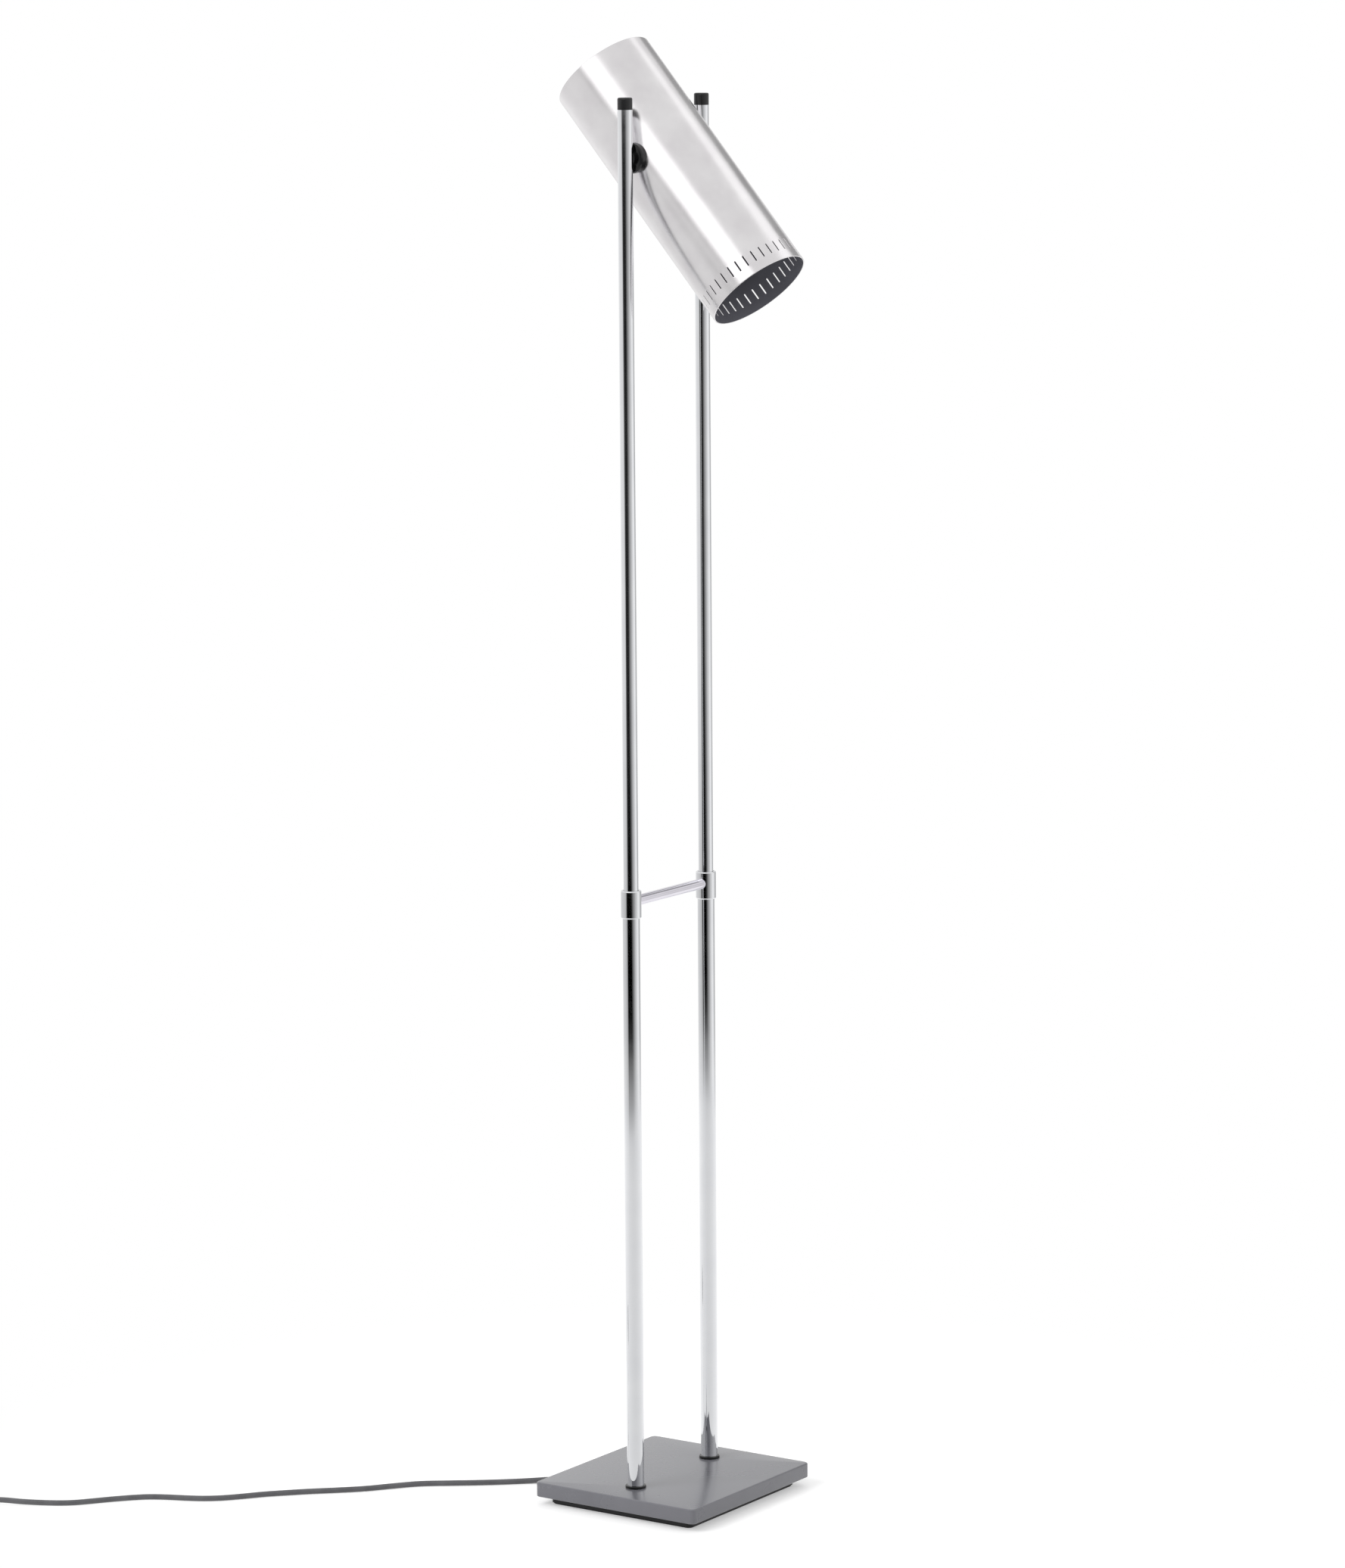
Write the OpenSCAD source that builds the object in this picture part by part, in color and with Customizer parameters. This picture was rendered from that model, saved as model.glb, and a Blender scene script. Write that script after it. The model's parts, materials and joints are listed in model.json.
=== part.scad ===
// Telescopic floor lamp: two chromed posts on a lacquered base carry a slotted cylinder shade.
// +Z is up, the floor is z = 0 and the posts stand on the Y axis. The shade's mouth faces +X and down.

/* [Base] */
// Depth of the base plate, front to back
base_x = 180; // [170:1:200]
// Width of the base plate, along the line of the posts
base_y = 198; // [190:1:215]
// Thickness of the base plate
base_t = 14; // [12:1:18]
// Radius of the base plate's upright corners
base_corner = 5; // [3:1:10]
// Step back of the foot slab from the plate's edge
plinth_inset = 10.5; // [8:0.5:12]
// Thickness of the foot slab
plinth_t = 6.5; // [6.5:0.5:8]
// Thickness of the felt pad under the foot slab
pad_t = 1.5; // [1:0.5:2]

/* [Posts] */
// Distance between the two posts, centre to centre
post_gap = 124; // [124:1:136]
// Outer diameter of a lower tube
tube_d = 16; // [16:0.1:16.4]
// Wall of a lower tube
tube_wall = 0.8; // [0.8:0.05:0.9]
// Outer diameter of a sliding rod
rod_d = 13.8; // [13.4:0.1:13.8]
// Wall of a sliding rod
rod_wall = 0.9; // [0.8:0.1:1]
// Height of the post tops above the base plate, as photographed
post_h = 1295; // [1250:5:1320]
// Length of rod inside the lower tube, as photographed
rod_overlap = 92; // [80:1:110]
// Height of the collars' middle above the base plate
collar_up = 555; // [540:1:570]
// Outer diameter of a collar
collar_d = 19; // [19:0.5:21]
// Height of a collar
collar_h = 26; // [24:1:30]
// Diameter of the bar between the collars
bar_d = 10; // [8:0.5:12]

/* [Shade] */
// Outer diameter of the shade
shade_d = 98; // [96:1:98]
// Length of the shade
shade_len = 258; // [250:1:280]
// Wall of the shade
shade_wall = 1.2; // [1:0.1:1.5]
// Lean of the shade from hanging straight down
shade_tilt = 41; // [0:1:85]
// Distance of the pivot below the post tops
pivot_down = 55; // [45:1:60]
// Distance of the pivot from the shade's closed end
pivot_back = 100; // [98:1:110]
// Number of slots round the mouth
slot_count = 36; // [24:2:40]
// Width of a slot
slot_w = 1.2; // [1:0.2:3]
// Length of a slot, end to end
slot_len = 11; // [8:1:20]
// Distance of the slots from the rim
slot_rim = 9; // [5:1:12]
// Diameter of the black disc at each pivot
disc_d = 28; // [24:1:30]

/* [Lamp] */
// Diameter of the bulb's globe
bulb_d = 60; // [45:1:60]
// Length of the bulb's glass
bulb_len = 80; // [75:1:85]

/* [Cord] */
// Diameter of the cord
cord_d = 5.2; // [5:0.1:5.4]
// Distance of the cord's exit from the middle of the back side
exit_y = -32; // [-32:1:-31]
// Whole turns in the coil of spare cord
coil_rounds = 6; // [5:1:7]
// Step from turn to turn in the coil
coil_pitch = 5.8; // [5.7:0.1:6]
// Radius of the coil's outer turn
coil_r = 40; // [40:0.5:42]

/* [Hidden] */
$fn = 64;
eps = 0.01;

chrome_c = [0.82, 0.82, 0.84];
lacquer_c = [0.46, 0.46, 0.48];
black_c = [0.06, 0.06, 0.07];
nylon_c = [0.85, 0.85, 0.80];
steel_c = [0.62, 0.63, 0.65];
brass_c = [0.78, 0.62, 0.30];
bakelite_c = [0.10, 0.09, 0.09];
felt_c = [0.16, 0.16, 0.17];
cord_c = [0.24, 0.24, 0.25];
glass_c = [0.95, 0.95, 0.92];

// Heights up the stand
plinth_z = pad_t;
plate_z = plinth_z + plinth_t;
top_z = plate_z + base_t;
post_y = post_gap / 2;
sides = [-1, 1];
round_r = 1.5;

// Posts
tube_r = tube_d / 2;
tube_bore = tube_r - tube_wall;
rod_r = rod_d / 2;
rod_bore = rod_r - rod_wall;
foot_t = 2.4;
tube_z = top_z + foot_t;
collar_z = top_z + collar_up - collar_h / 2;
collar_r = collar_d / 2;
seat_h = 18;
lip_h = 1.5;
grub_r = 2;
grub_up = 8;
tube_top = collar_z + seat_h;
cap_h = 11;
spigot_h = 10;
rod_top = top_z + post_h - cap_h;
rod_z = tube_top - rod_overlap;
slide_gap = 0.05;
guide_h = 5;
wire_bore = 2.4;
wire_r = 2;

// Fixing of the posts, with the nuts in pockets in the plate's underside
pocket_r = 11;
pocket_h = 8;
stud_r = 5;
stud_room = 0.2;
stud_bore = 3;
stud_h = 16;
nut_h = 4;
nut_flats = 16;
washer_h = 1;
washer_r = 9.5;
washer_z = plate_z + pocket_h - washer_h;
shank_z = washer_z - nut_h - 0.3;
screw_r = 2;
screw_head = 4;
screw_len = 13;

// Pivots, in the shade's own frame: the pivot is the origin and the mouth points down
pivot_z = top_z + post_h - pivot_down;
shade_r = shade_d / 2;
shade_bore = shade_r - shade_wall;
shade_up = pivot_back;
shade_down = shade_len - pivot_back;
band_h = slot_rim + slot_len + 10;
pin_r = 4;
pin_bore = pin_r + slide_gap;
pin_end = post_y + 2;
pin_start = 36;
rod_face = post_y - rod_r;
disc_face = rod_face - 0.3;
saddle_r = 7.5;
insert_h = 24;

// Bracket that carries the lampholder
strap_w = 16;
strap_t = 1.5;
strap_y = 46.9;
strap_top = 63;
pin_washer = strap_y - strap_t - 2 * slide_gap - washer_h;
lead_y = 30;
holder_len = 54;
holder_r = 20;
neck_z = strap_top - strap_t - holder_len;
cavity_r = 14;
cavity_z = neck_z + 32.5;
nipple_r = 5;
nipple_top = 72;

// Bulb, with the glass below bulb_low and the screw cap above it
bulb_low = neck_z + 4;
cap_len = 26;
thread_r = 13.2;
bulb_neck = 12.6;
glass_t = 1;
globe_r = bulb_d / 2;
globe_z = bulb_low - bulb_len + globe_r;

// Cord
cord_r = cord_d / 2;
exit_z = plinth_z + plinth_t / 2;
exit_x = -base_x / 2 + plinth_inset;
channel_w = 8;
gland_block = 10;
gland_len = 26;
gland_tip = exit_x - gland_len;
heading = 210;
switch_at = [-532.2, -385, 5.5];
switch_len = 80;
sleeve_len = 10;
link_len = 20;
tie_t = 0.6;
tie_room = 0.2;
layer_step = 5.8;
coil_low = cord_r + tie_t + tie_room;
coil_top = coil_low + layer_step;
coil_turns = coil_rounds + heading / 360;
layer_turns = coil_turns / 2;
ahead = [cos(heading), sin(heading), 0];
aside = [sin(heading), -cos(heading), 0];
switch_end = switch_at + switch_len * ahead;
coil_in = [switch_end.x, switch_end.y, coil_low] + link_len * ahead;
coil_mid = [coil_in.x, coil_in.y, 0] + coil_r * aside;
plug_axis = 6.9;
tail_len = 20;
coil_out = coil_mid + [0, coil_r, coil_top];
plug_at = coil_out + [tail_len + cord_d, 0, plug_axis - coil_top];

// Points that the cord follows on the floor, from the gland to the switch
cord_route = [
    [gland_tip, exit_y, exit_z], [-113, -32, 4.5], [-121, -33, 3.9], [-130, -38, 3.1],
    [-140, -46, 2.7], [-155, -59, 2.6], [-175, -75, 2.6], [-197, -91, 2.6],
    [-218, -107, 2.6], [-235, -127, 2.6], [-251, -148, 2.6], [-270, -167, 2.6],
    [-289, -184, 2.6], [-305, -200, 2.6], [-321, -217, 2.6], [-334, -234, 2.6],
    [-347, -249, 2.6], [-361, -260, 2.6], [-377, -268, 2.6], [-393, -275, 2.6],
    [-407, -283, 2.6], [-417, -292, 2.6], [-426, -302, 2.6], [-435, -313, 2.6],
    [-444, -325, 2.6], [-453, -336, 2.6], [-464, -345, 2.6], [-479, -354, 2.8],
    [-495, -363.5, 3.6], [-511, -372.8, 5], switch_at
];

// Corners in plan of the lead's channel in the foot, from the gland to the rear post
lead_plan = [[exit_x, exit_y], [-40, exit_y], [0, post_y - 16], [0, post_y]];
lead_bend = 8;
lead_end = tube_z + stud_h + 1;

// Points of the lead inside the foot: along the channel, then round a quarter turn up the rear post
base_route = concat(
    [[exit_x + gland_block, exit_y, exit_z], [-56, exit_y, exit_z], [-44, exit_y + 1, exit_z],
        [-37, -26, exit_z], [-30, -12.5, exit_z], [-10, 26.5, exit_z], [-3.5, 39.5, exit_z],
        [-0.5, 47.5, exit_z]],
    [for (a = [0 : 22.5 : 90])
        [0, post_y - lead_bend * (1 - sin(a)), exit_z + lead_bend * (1 - cos(a))]],
    [[0, post_y, tube_z], [0, post_y, lead_end]]);

// Points of the lead inside the shade, from the rear pivot to the lampholder
shade_route = [
    [0, pin_start - 0.2, 0], [0, 33.5, 1.5], [0, 31, 5], [0, lead_y, 11], [0, lead_y, 30],
    [0, lead_y, 50], [0, lead_y, 64], [0, 28.5, 72], [0, 24, 78], [0, 17, 81], [0, 9, 81.5],
    [0, 3, 79.5], [0, 0.5, 76], [0, 0, nipple_top - 4]
];

// ---------------------------------------------------------------- helpers

// Rectangle with true round corners
module round_rect(w, d, r) {
    square([w - 2 * r, d], center = true);
    square([w, d - 2 * r], center = true);
    for (sx = sides, sy = sides)
        translate([sx * (w / 2 - r), sy * (d / 2 - r)]) circle(r);
}

// Slab of a rounded rectangle, drawn in by inset on each side
module slab(inset, z, h) {
    translate([0, 0, z])
        linear_extrude(h) round_rect(base_x - 2 * inset, base_y - 2 * inset, base_corner, $fn = 32);
}

// Straight pipe
module pipe(r, bore, h) {
    difference() {
        cylinder(r = r, h = h);
        translate([0, 0, -1]) cylinder(r = bore, h = h + 2);
    }
}

// Places its children at each post
module at_posts() {
    for (s = sides) translate([0, s * post_y, 0]) children();
}

// Turns its children so that +Z points out to each post, with the middle between them as origin
module at_pivots() {
    for (s = sides) rotate([s * -90, 0, 0]) children();
}

// Puts its children in the shade's tilted place
module in_shade() {
    translate([0, 0, pivot_z]) rotate([0, -shade_tilt, 0]) children();
}

// Hexagon nut, d across flats
module hex_nut(flats, bore, h) {
    difference() {
        cylinder(d = flats / cos(30), h = h, $fn = 6);
        translate([0, 0, -1]) cylinder(r = bore, h = h + 2);
    }
}

// Countersunk screw standing head down on z = 0
module flat_screw(r, head, length) {
    cylinder(r1 = head, r2 = r, h = head - r);
    cylinder(r = r, h = length);
}

// Points on a smooth line through the given ones, steps to each span
function smooth(p, steps) =
    let (n = len(p))
    concat([for (i = [0 : n - 2], k = [0 : steps - 1])
        let (t = k / steps, a = p[max(i - 1, 0)], b = p[i], c = p[i + 1], d = p[min(i + 2, n - 1)])
        0.5 * (2 * b + (c - a) * t + (2 * a - 5 * b + 4 * c - d) * t * t
            + (3 * b - a - 3 * c + d) * t * t * t)],
        [p[n - 1]]);

function unit(v) = v / norm(v);

// Eases from 0 to 1
function ease(u) = let (t = min(max(u, 0), 1)) t * t * (3 - 2 * t);

// Least gap between stretches of a line of diameter d that are at least apart points away
function least_gap(line, apart, d) = let (n = len(line))
    min([for (i = [0 : n - 1], j = [i + apart : 1 : n - 1]) norm(line[i] - line[j])]) - d;

// Direction of a line at each of its points, with the two ends as given
function headings(p, first, last) =
    let (n = len(p))
    [for (i = [0 : n - 1]) i == 0 ? first : i == n - 1 ? last : unit(p[i + 1] - p[i - 1])];

// Round tube along a line: one closed skin of triangles with its ends square to first and last
module sweep(p, r, count, first, last) {
    n = len(p);
    t = headings(p, unit(first), unit(last));
    start = unit(cross(abs(t[0].z) > 0.9 ? [1, 0, 0] : [0, 0, 1], t[0]));
    side = [for (i = 0, s = start; i < n;
        i = i + 1, s = i < n ? unit(s - (s * t[i]) * t[i]) : s) s];
    ring = [for (i = [0 : n - 1], k = [0 : count - 1])
        let (a = 360 * k / count) p[i] + r * (cos(a) * side[i] + sin(a) * cross(t[i], side[i]))];
    last_ring = (n - 1) * count;
    polyhedron(concat(ring, [p[0], p[n - 1]]), concat(
        [for (i = [0 : n - 2], k = [0 : count - 1])
            let (a = i * count + k, b = i * count + (k + 1) % count) [a, b, b + count]],
        [for (i = [0 : n - 2], k = [0 : count - 1])
            let (a = i * count + k, b = i * count + (k + 1) % count) [a, b + count, a + count]],
        [for (k = [0 : count - 1]) [n * count, (k + 1) % count, k]],
        [for (k = [0 : count - 1]) [n * count + 1, last_ring + k, last_ring + (k + 1) % count]]));
}

// ---------------------------------------------------------------- stand

module base_plate() {
    color(lacquer_c) difference() {
        hull() {
            slab(0.8, plate_z, 1);
            slab(0, plate_z + 0.8, base_t - 0.8 - round_r);
            slab(0.45, top_z - 0.6, 0.1);
            slab(round_r, top_z - eps, eps);
        }
        at_posts() translate([0, 0, plate_z - 1]) {
            cylinder(r = stud_r + stud_room, h = base_t + 2);
            cylinder(r = pocket_r, h = pocket_h + 1);
        }
        screw_places() translate([0, 0, plate_z - 1]) cylinder(r = screw_r, h = screw_len - plinth_t + 2);
    }
}

// Places of the four screws that hold the foot slab
module screw_places() {
    for (sx = sides, sy = sides)
        translate([sx * (base_x / 2 - 26), sy * (base_y / 2 - 22), 0]) children();
}

// Straight lane from a to b with a round end at b
module lane(a, b) {
    run = b - a;
    translate(a) rotate(atan2(run.y, run.x)) translate([0, -channel_w / 2])
        square([norm(run), channel_w]);
    translate(b) circle(d = channel_w);
}

// Outline of the gland: a block that fills the channel and a flange that locks it
module gland_outline() {
    translate([exit_x, exit_y - channel_w / 2]) square([gland_block, channel_w]);
    translate([exit_x + gland_block / 2, exit_y]) square([3, channel_w + 5], center = true);
}

// Slab under the plate, with a channel for the lead and room under each post
module base_plinth() {
    color(black_c) difference() {
        slab(plinth_inset, plinth_z, plinth_t);
        translate([0, 0, plinth_z - 1]) linear_extrude(plinth_t + 2) {
            for (i = [0 : len(lead_plan) - 2]) lane(lead_plan[i], lead_plan[i + 1]);
            translate([-1, 0]) gland_outline();
            gland_outline();
        }
        at_posts() translate([0, 0, plinth_z - 1]) cylinder(r = pocket_r, h = plinth_t + 2);
        screw_places() translate([0, 0, plinth_z - eps])
            flat_screw(screw_r + 0.2, screw_head + 0.4, plinth_t + 1);
    }
}

module base_pad() {
    color(felt_c) slab(plinth_inset + 1, 0, pad_t);
}

module plinth_screws() {
    slot = 1;
    color(steel_c) screw_places() translate([0, 0, plinth_z]) difference() {
        flat_screw(screw_r, screw_head, screw_len);
        translate([0, 0, eps]) cube([2 * screw_head, slot, 2 * slot], center = true);
    }
}

// Dark ring between each post and the plate, with a bevelled edge
module foot_washers() {
    ring_r = 9.8;
    bevel = 0.6;
    color(black_c) at_posts() translate([0, 0, top_z]) difference() {
        union() {
            cylinder(r = ring_r, h = foot_t - bevel);
            translate([0, 0, foot_t - bevel]) cylinder(r1 = ring_r, r2 = ring_r - bevel, h = bevel);
        }
        translate([0, 0, -1]) cylinder(r = stud_r + stud_room, h = foot_t + 2);
    }
}

module lower_tube(side) {
    translate([0, side * post_y, tube_z]) pipe(tube_r, tube_bore, tube_top - tube_z);
}

module front_tube() {
    color(chrome_c) lower_tube(-1);
}

module rear_tube() {
    color(chrome_c) lower_tube(1);
}

// Turned plug pressed in the tube's foot, with a hollow threaded shank through the plate
module tube_studs() {
    color(steel_c) at_posts() difference() {
        union() {
            translate([0, 0, tube_z]) cylinder(r = tube_bore, h = stud_h);
            translate([0, 0, shank_z]) cylinder(r = stud_r, h = tube_z - shank_z + 1);
        }
        cylinder(r = stud_bore, h = tube_z + stud_h + 1);
    }
}

// Hexagon nut and washer on each stud
module tube_nuts() {
    color(steel_c) at_posts() {
        translate([0, 0, washer_z - nut_h]) hex_nut(nut_flats, stud_r, nut_h);
        translate([0, 0, washer_z]) pipe(washer_r, stud_r, washer_h);
    }
}

// Collar turned from bar: seat for the tube below, room for the bush, a lip over it
module collar(side) {
    edge = 1.2;
    lip_gap = 0.3;
    difference() {
        translate([0, side * post_y, collar_z]) rotate_extrude() difference() {
            union() {
                square([collar_r - edge, collar_h]);
                translate([0, edge]) square([collar_r, collar_h - 2 * edge]);
                for (z = [edge, collar_h - edge])
                    translate([collar_r - edge, z]) circle(edge, $fn = 32);
            }
            translate([-1, -1]) square([tube_r + 1, collar_h - lip_h + 1]);
            translate([-1, -1]) square([rod_r + lip_gap + 1, collar_h + 2]);
        }
        translate([-collar_r - 1, side * post_y, collar_z + grub_up]) rotate([0, 90, 0])
            cylinder(r = grub_r, h = collar_r - tube_r + 2);
    }
}

module front_collar() {
    color(chrome_c) collar(-1);
}

module rear_collar() {
    color(chrome_c) collar(1);
}

// Slit ring that grips the rod
module collar_bushes() {
    slit = 1.5;
    color(nylon_c) at_posts() translate([0, 0, tube_top]) difference() {
        pipe(tube_r, rod_r + slide_gap, collar_h - seat_h - lip_h);
        translate([-tube_r - 1, -slit / 2, -1]) cube([tube_r, slit, collar_h]);
    }
}

// Grub screw that holds each collar on its tube, with a hexagon socket
module collar_grubs() {
    sunk = 0.2;
    color(steel_c) at_posts()
        translate([-collar_r + sunk, 0, collar_z + grub_up]) rotate([0, 90, 0]) difference() {
            cylinder(r = grub_r, h = collar_r - tube_r - sunk);
            translate([0, 0, -1]) cylinder(r = grub_r / 2, h = 1.8, $fn = 6);
        }
}

// Bar between the collars, cut to their round sides
module crossbar() {
    above_middle = 2;
    color(chrome_c) difference() {
        translate([0, post_y, collar_z + collar_h / 2 + above_middle]) rotate([90, 0, 0])
            cylinder(d = bar_d, h = post_gap);
        at_posts() translate([0, 0, collar_z - 1]) cylinder(r = collar_r, h = collar_h + 2);
    }
}

// Moulded gland: its block sits in the foot, and its ribbed tail tapers along the cord
module cable_gland() {
    ribs = 5;
    rib_t = 1.8;
    root_r = cord_r + 0.6;
    tip_r = cord_r + 0.2;
    color(black_c) {
        translate([0, 0, plinth_z]) linear_extrude(plinth_t) gland_outline();
        translate([exit_x, exit_y, exit_z]) rotate([0, -90, 0]) {
            cylinder(r1 = root_r, r2 = tip_r, h = gland_len);
            for (i = [1 : ribs])
                translate([0, 0, i * gland_len / (ribs + 1)])
                    cylinder(r = root_r + 0.4 - 0.1 * i, h = rib_t);
        }
    }
}

module base_lead() {
    color(cord_c) sweep(smooth(base_route, 2), wire_r, 8, [1, 0, 0], [0, 0, 1]);
}

// Curly lead in the rear tube, which draws out and closes up as the posts telescope
curls = 11;
curl_rings = 8;
curl_r = tube_bore - wire_r - 0.4;
curl_start = lead_end + 2 * wire_r;
curl_end = rod_z - guide_h - 2 * wire_r;
curl_line = concat([[0, post_y, lead_end]],
    [for (i = [0 : curls * curl_rings])
        let (t = i / (curls * curl_rings), a = 360 * curls * t, r = curl_r * ease(curls * min(t, 1 - t)))
        [r * cos(a), post_y + r * sin(a), curl_start + (curl_end - curl_start) * t]],
    [[0, post_y, rod_z - guide_h]]);
echo("least gap between curls of the tube lead, mm", least_gap(curl_line, curl_rings, 2 * wire_r));

module tube_lead() {
    color(cord_c) sweep(curl_line, wire_r, 6, [0, 0, 1], [0, 0, 1]);
}

// ---------------------------------------------------------------- cord

module cord() {
    color(cord_c) sweep(smooth(cord_route, 2), cord_r, 8, [-1, 0, 0], ahead);
}

// Points of a straight run in plan that eases from one height to another
function stepped(from, to, steps = 4) = [for (k = [0 : steps]) let (t = k / steps)
    [from.x + (to.x - from.x) * t, from.y + (to.y - from.y) * t, from.z + (to.z - from.z) * ease(t)]];

module cord_link() {
    color(cord_c) sweep(stepped(switch_end, coil_in - cord_d * ahead), cord_r, 8, ahead, ahead);
}

// Zigzag from 0 to 1 and back as the turns go in and out again
function drawn_in(t) = 1 - abs(1 - t / layer_turns);

// Rise from the lower layer to the upper one in the half turn round the reversal
function climb(t) = ease((t - layer_turns) * 2 + 0.5);

// A point of the coil after t turns, clockwise from where the cord comes in
function coil_point(t) =
    let (a = heading + 90 - 360 * t, r = coil_r - coil_pitch * layer_turns * drawn_in(t))
    coil_mid + [r * cos(a), r * sin(a), coil_low + (coil_top - coil_low) * climb(t)];

coil_rings = 24;
coil_steps = round(coil_turns * coil_rings);
coil_line = concat([coil_in - cord_d * ahead],
    [for (i = [0 : coil_steps]) coil_point(i * coil_turns / coil_steps)],
    [coil_out + [cord_d, 0, 0]]);
echo("least gap between turns of the coil, mm", least_gap(coil_line, coil_rings / 2, cord_d));

module cord_coil() {
    color(cord_c) sweep(coil_line, cord_r, 6, ahead, [1, 0, 0]);
}

module cord_tail() {
    from = coil_out + [cord_d, 0, 0];
    route = stepped(from, [from.x + tail_len, from.y, plug_axis]);
    color(cord_c) sweep(route, cord_r, 8, [1, 0, 0], [1, 0, 0]);
}

// Band round the coil's turns, part of a turn after the cord comes in
module cord_tie() {
    part = 0.78;
    band_w = 7;
    inner_w = coil_pitch * (ceil(layer_turns - part) - 1) + cord_d + 4 * tie_room;
    inner_h = layer_step + cord_d + 2 * tie_room;
    middle = coil_r - coil_pitch * (part + (ceil(layer_turns - part) - 1) / 2);
    color(black_c) translate(coil_mid) rotate(heading + 90 - 360 * part)
        translate([middle, band_w / 2, tie_t + inner_h / 2]) rotate([90, 0, 0])
            linear_extrude(band_w) difference() {
                round_rect(inner_w + 2 * tie_t, inner_h + 2 * tie_t, 1.4 + tie_t, $fn = 32);
                round_rect(inner_w, inner_h, 1.4, $fn = 32);
            }
}

// Flat two-pin plug
plug_h = 13.4;
plug_relief = 24;
plug_grip = 34;
pin_gap = 18.6;
pin_len = 19;

// Moulded body that swells from a narrow neck to its face, behind a ribbed tapering tail
module plug_body() {
    ribs = 4;
    rib_step = 4.6;
    face_t = 1;
    sections = [[0, 11, 15, 4.5], [12, plug_h, 22, 5], [plug_grip - face_t, plug_h, 26, 6]];
    color(black_c) translate(plug_at) rotate([0, 90, 0]) {
        cylinder(r1 = cord_r + 0.3, r2 = cord_r + 1.4, h = plug_relief);
        for (i = [1 : ribs]) translate([0, 0, rib_step * i])
            cylinder(r = cord_r + 0.9 + 0.2 * i, h = 1.8);
        hull() for (s = sections) translate([0, 0, plug_relief + s[0]])
            linear_extrude(face_t) round_rect(s[1], s[2], s[3], $fn = 32);
    }
}

module plug_pins() {
    pin_d = 4;
    color(brass_c) translate(plug_at) rotate([0, 90, 0]) for (s = sides)
        translate([0, s * pin_gap / 2, plug_relief + plug_grip]) {
            cylinder(d = pin_d, h = pin_len - pin_d / 2);
            translate([0, 0, pin_len - pin_d / 2]) sphere(d = pin_d);
        }
}

// Places its children along the switch, with its inlet as origin and its length along +X
module at_switch() {
    translate([switch_at.x, switch_at.y, 0]) rotate(heading) children();
}

// In-line switch: the two shells part at the cord's middle, and the rocker tips on a cross pin
switch_w = 24;
switch_split = switch_at.z;
switch_top = 14;
sleeve_r = 5;
sleeve_t = 0.8;
rocker_x = switch_len / 2;
rocker_z = 8;
rocker_w = 11;
rocker_l = 15.6;
rocker_pin = 1.2;
rocker_lean = 6;
switch_screw_x = [22, switch_len - 22];
switch_screw_y = 7;

// Pill outline of the switch from its edge curve: two half turns and a straight between
module pill(z, h, edge) {
    r = switch_w / 2;
    run = switch_len - 2 * sleeve_len - switch_w;
    module half_profile() {
        difference() {
            union() {
                square([r - edge, h]);
                square([r, h - edge]);
                translate([r - edge, h - edge]) circle(edge, $fn = 32);
            }
            translate([-r, -r]) square([r, 3 * r]);
            translate([-r, -r]) square([3 * r, r]);
        }
    }
    translate([sleeve_len + r, 0, z]) {
        rotate(90) rotate_extrude(angle = 180) half_profile();
        translate([run, 0, 0]) rotate(-90) rotate_extrude(angle = 180) half_profile();
        rotate([90, 0, 90]) linear_extrude(run) {
            half_profile();
            mirror([1, 0]) half_profile();
        }
    }
}

// Half sleeves round the cord at both ends of the switch, above or below the split
module sleeves(upper) {
    difference() {
        union() {
            translate([0, 0, switch_split]) rotate([0, 90, 0])
                cylinder(r1 = cord_r + sleeve_t, r2 = sleeve_r, h = sleeve_len + 2);
            translate([switch_len, 0, switch_split]) rotate([0, -90, 0])
                cylinder(r1 = cord_r + sleeve_t, r2 = sleeve_r, h = sleeve_len + 2);
        }
        translate([-1, -switch_w / 2, upper ? switch_split - switch_top : switch_split])
            cube([switch_len + 2, switch_w, switch_top]);
    }
}

// Lower shell, with an ear at each side of the rocker and recesses for the screw heads
module switch_base() {
    ear = [6, 1.8, rocker_z - switch_split + 2];
    color(black_c) at_switch() difference() {
        union() {
            translate([0, 0, switch_split]) mirror([0, 0, 1]) pill(0, switch_split, 1.5);
            sleeves(false);
            for (s = sides) translate([rocker_x, s * (rocker_w / 2 + 1.4), switch_split + ear.z / 2])
                cube(ear, center = true);
        }
        translate([rocker_x, 0, rocker_z]) rotate([90, 0, 0])
            cylinder(r = rocker_pin + slide_gap, h = switch_w, center = true);
        for (x = switch_screw_x) translate([x, switch_screw_y, -1]) {
            cylinder(r = 1.3, h = switch_top);
            cylinder(r = 2.4, h = 2.5);
        }
    }
}

// Upper shell, hollow round the rocker and open over it
module switch_cover() {
    hollow = [22, rocker_w + 5, 6.5];
    window = [rocker_l + 2.4, rocker_w + 0.8, switch_top];
    color(black_c) at_switch() difference() {
        union() {
            pill(switch_split, switch_top - switch_split, 2.5);
            sleeves(true);
        }
        translate([rocker_x - hollow.x / 2, -hollow.y / 2, switch_split - 1]) cube(hollow);
        translate([rocker_x - window.x / 2, -window.y / 2, switch_split]) cube(window);
        for (x = switch_screw_x) translate([x, switch_screw_y, switch_split - 1]) cylinder(r = 1, h = 6);
    }
}

module switch_screws() {
    head_z = 0.3;
    color(steel_c) at_switch() for (x = switch_screw_x) translate([x, switch_screw_y, head_z]) {
        cylinder(r = 2.2, h = 1.2);
        cylinder(r = 1, h = 9.5);
    }
}

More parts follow.
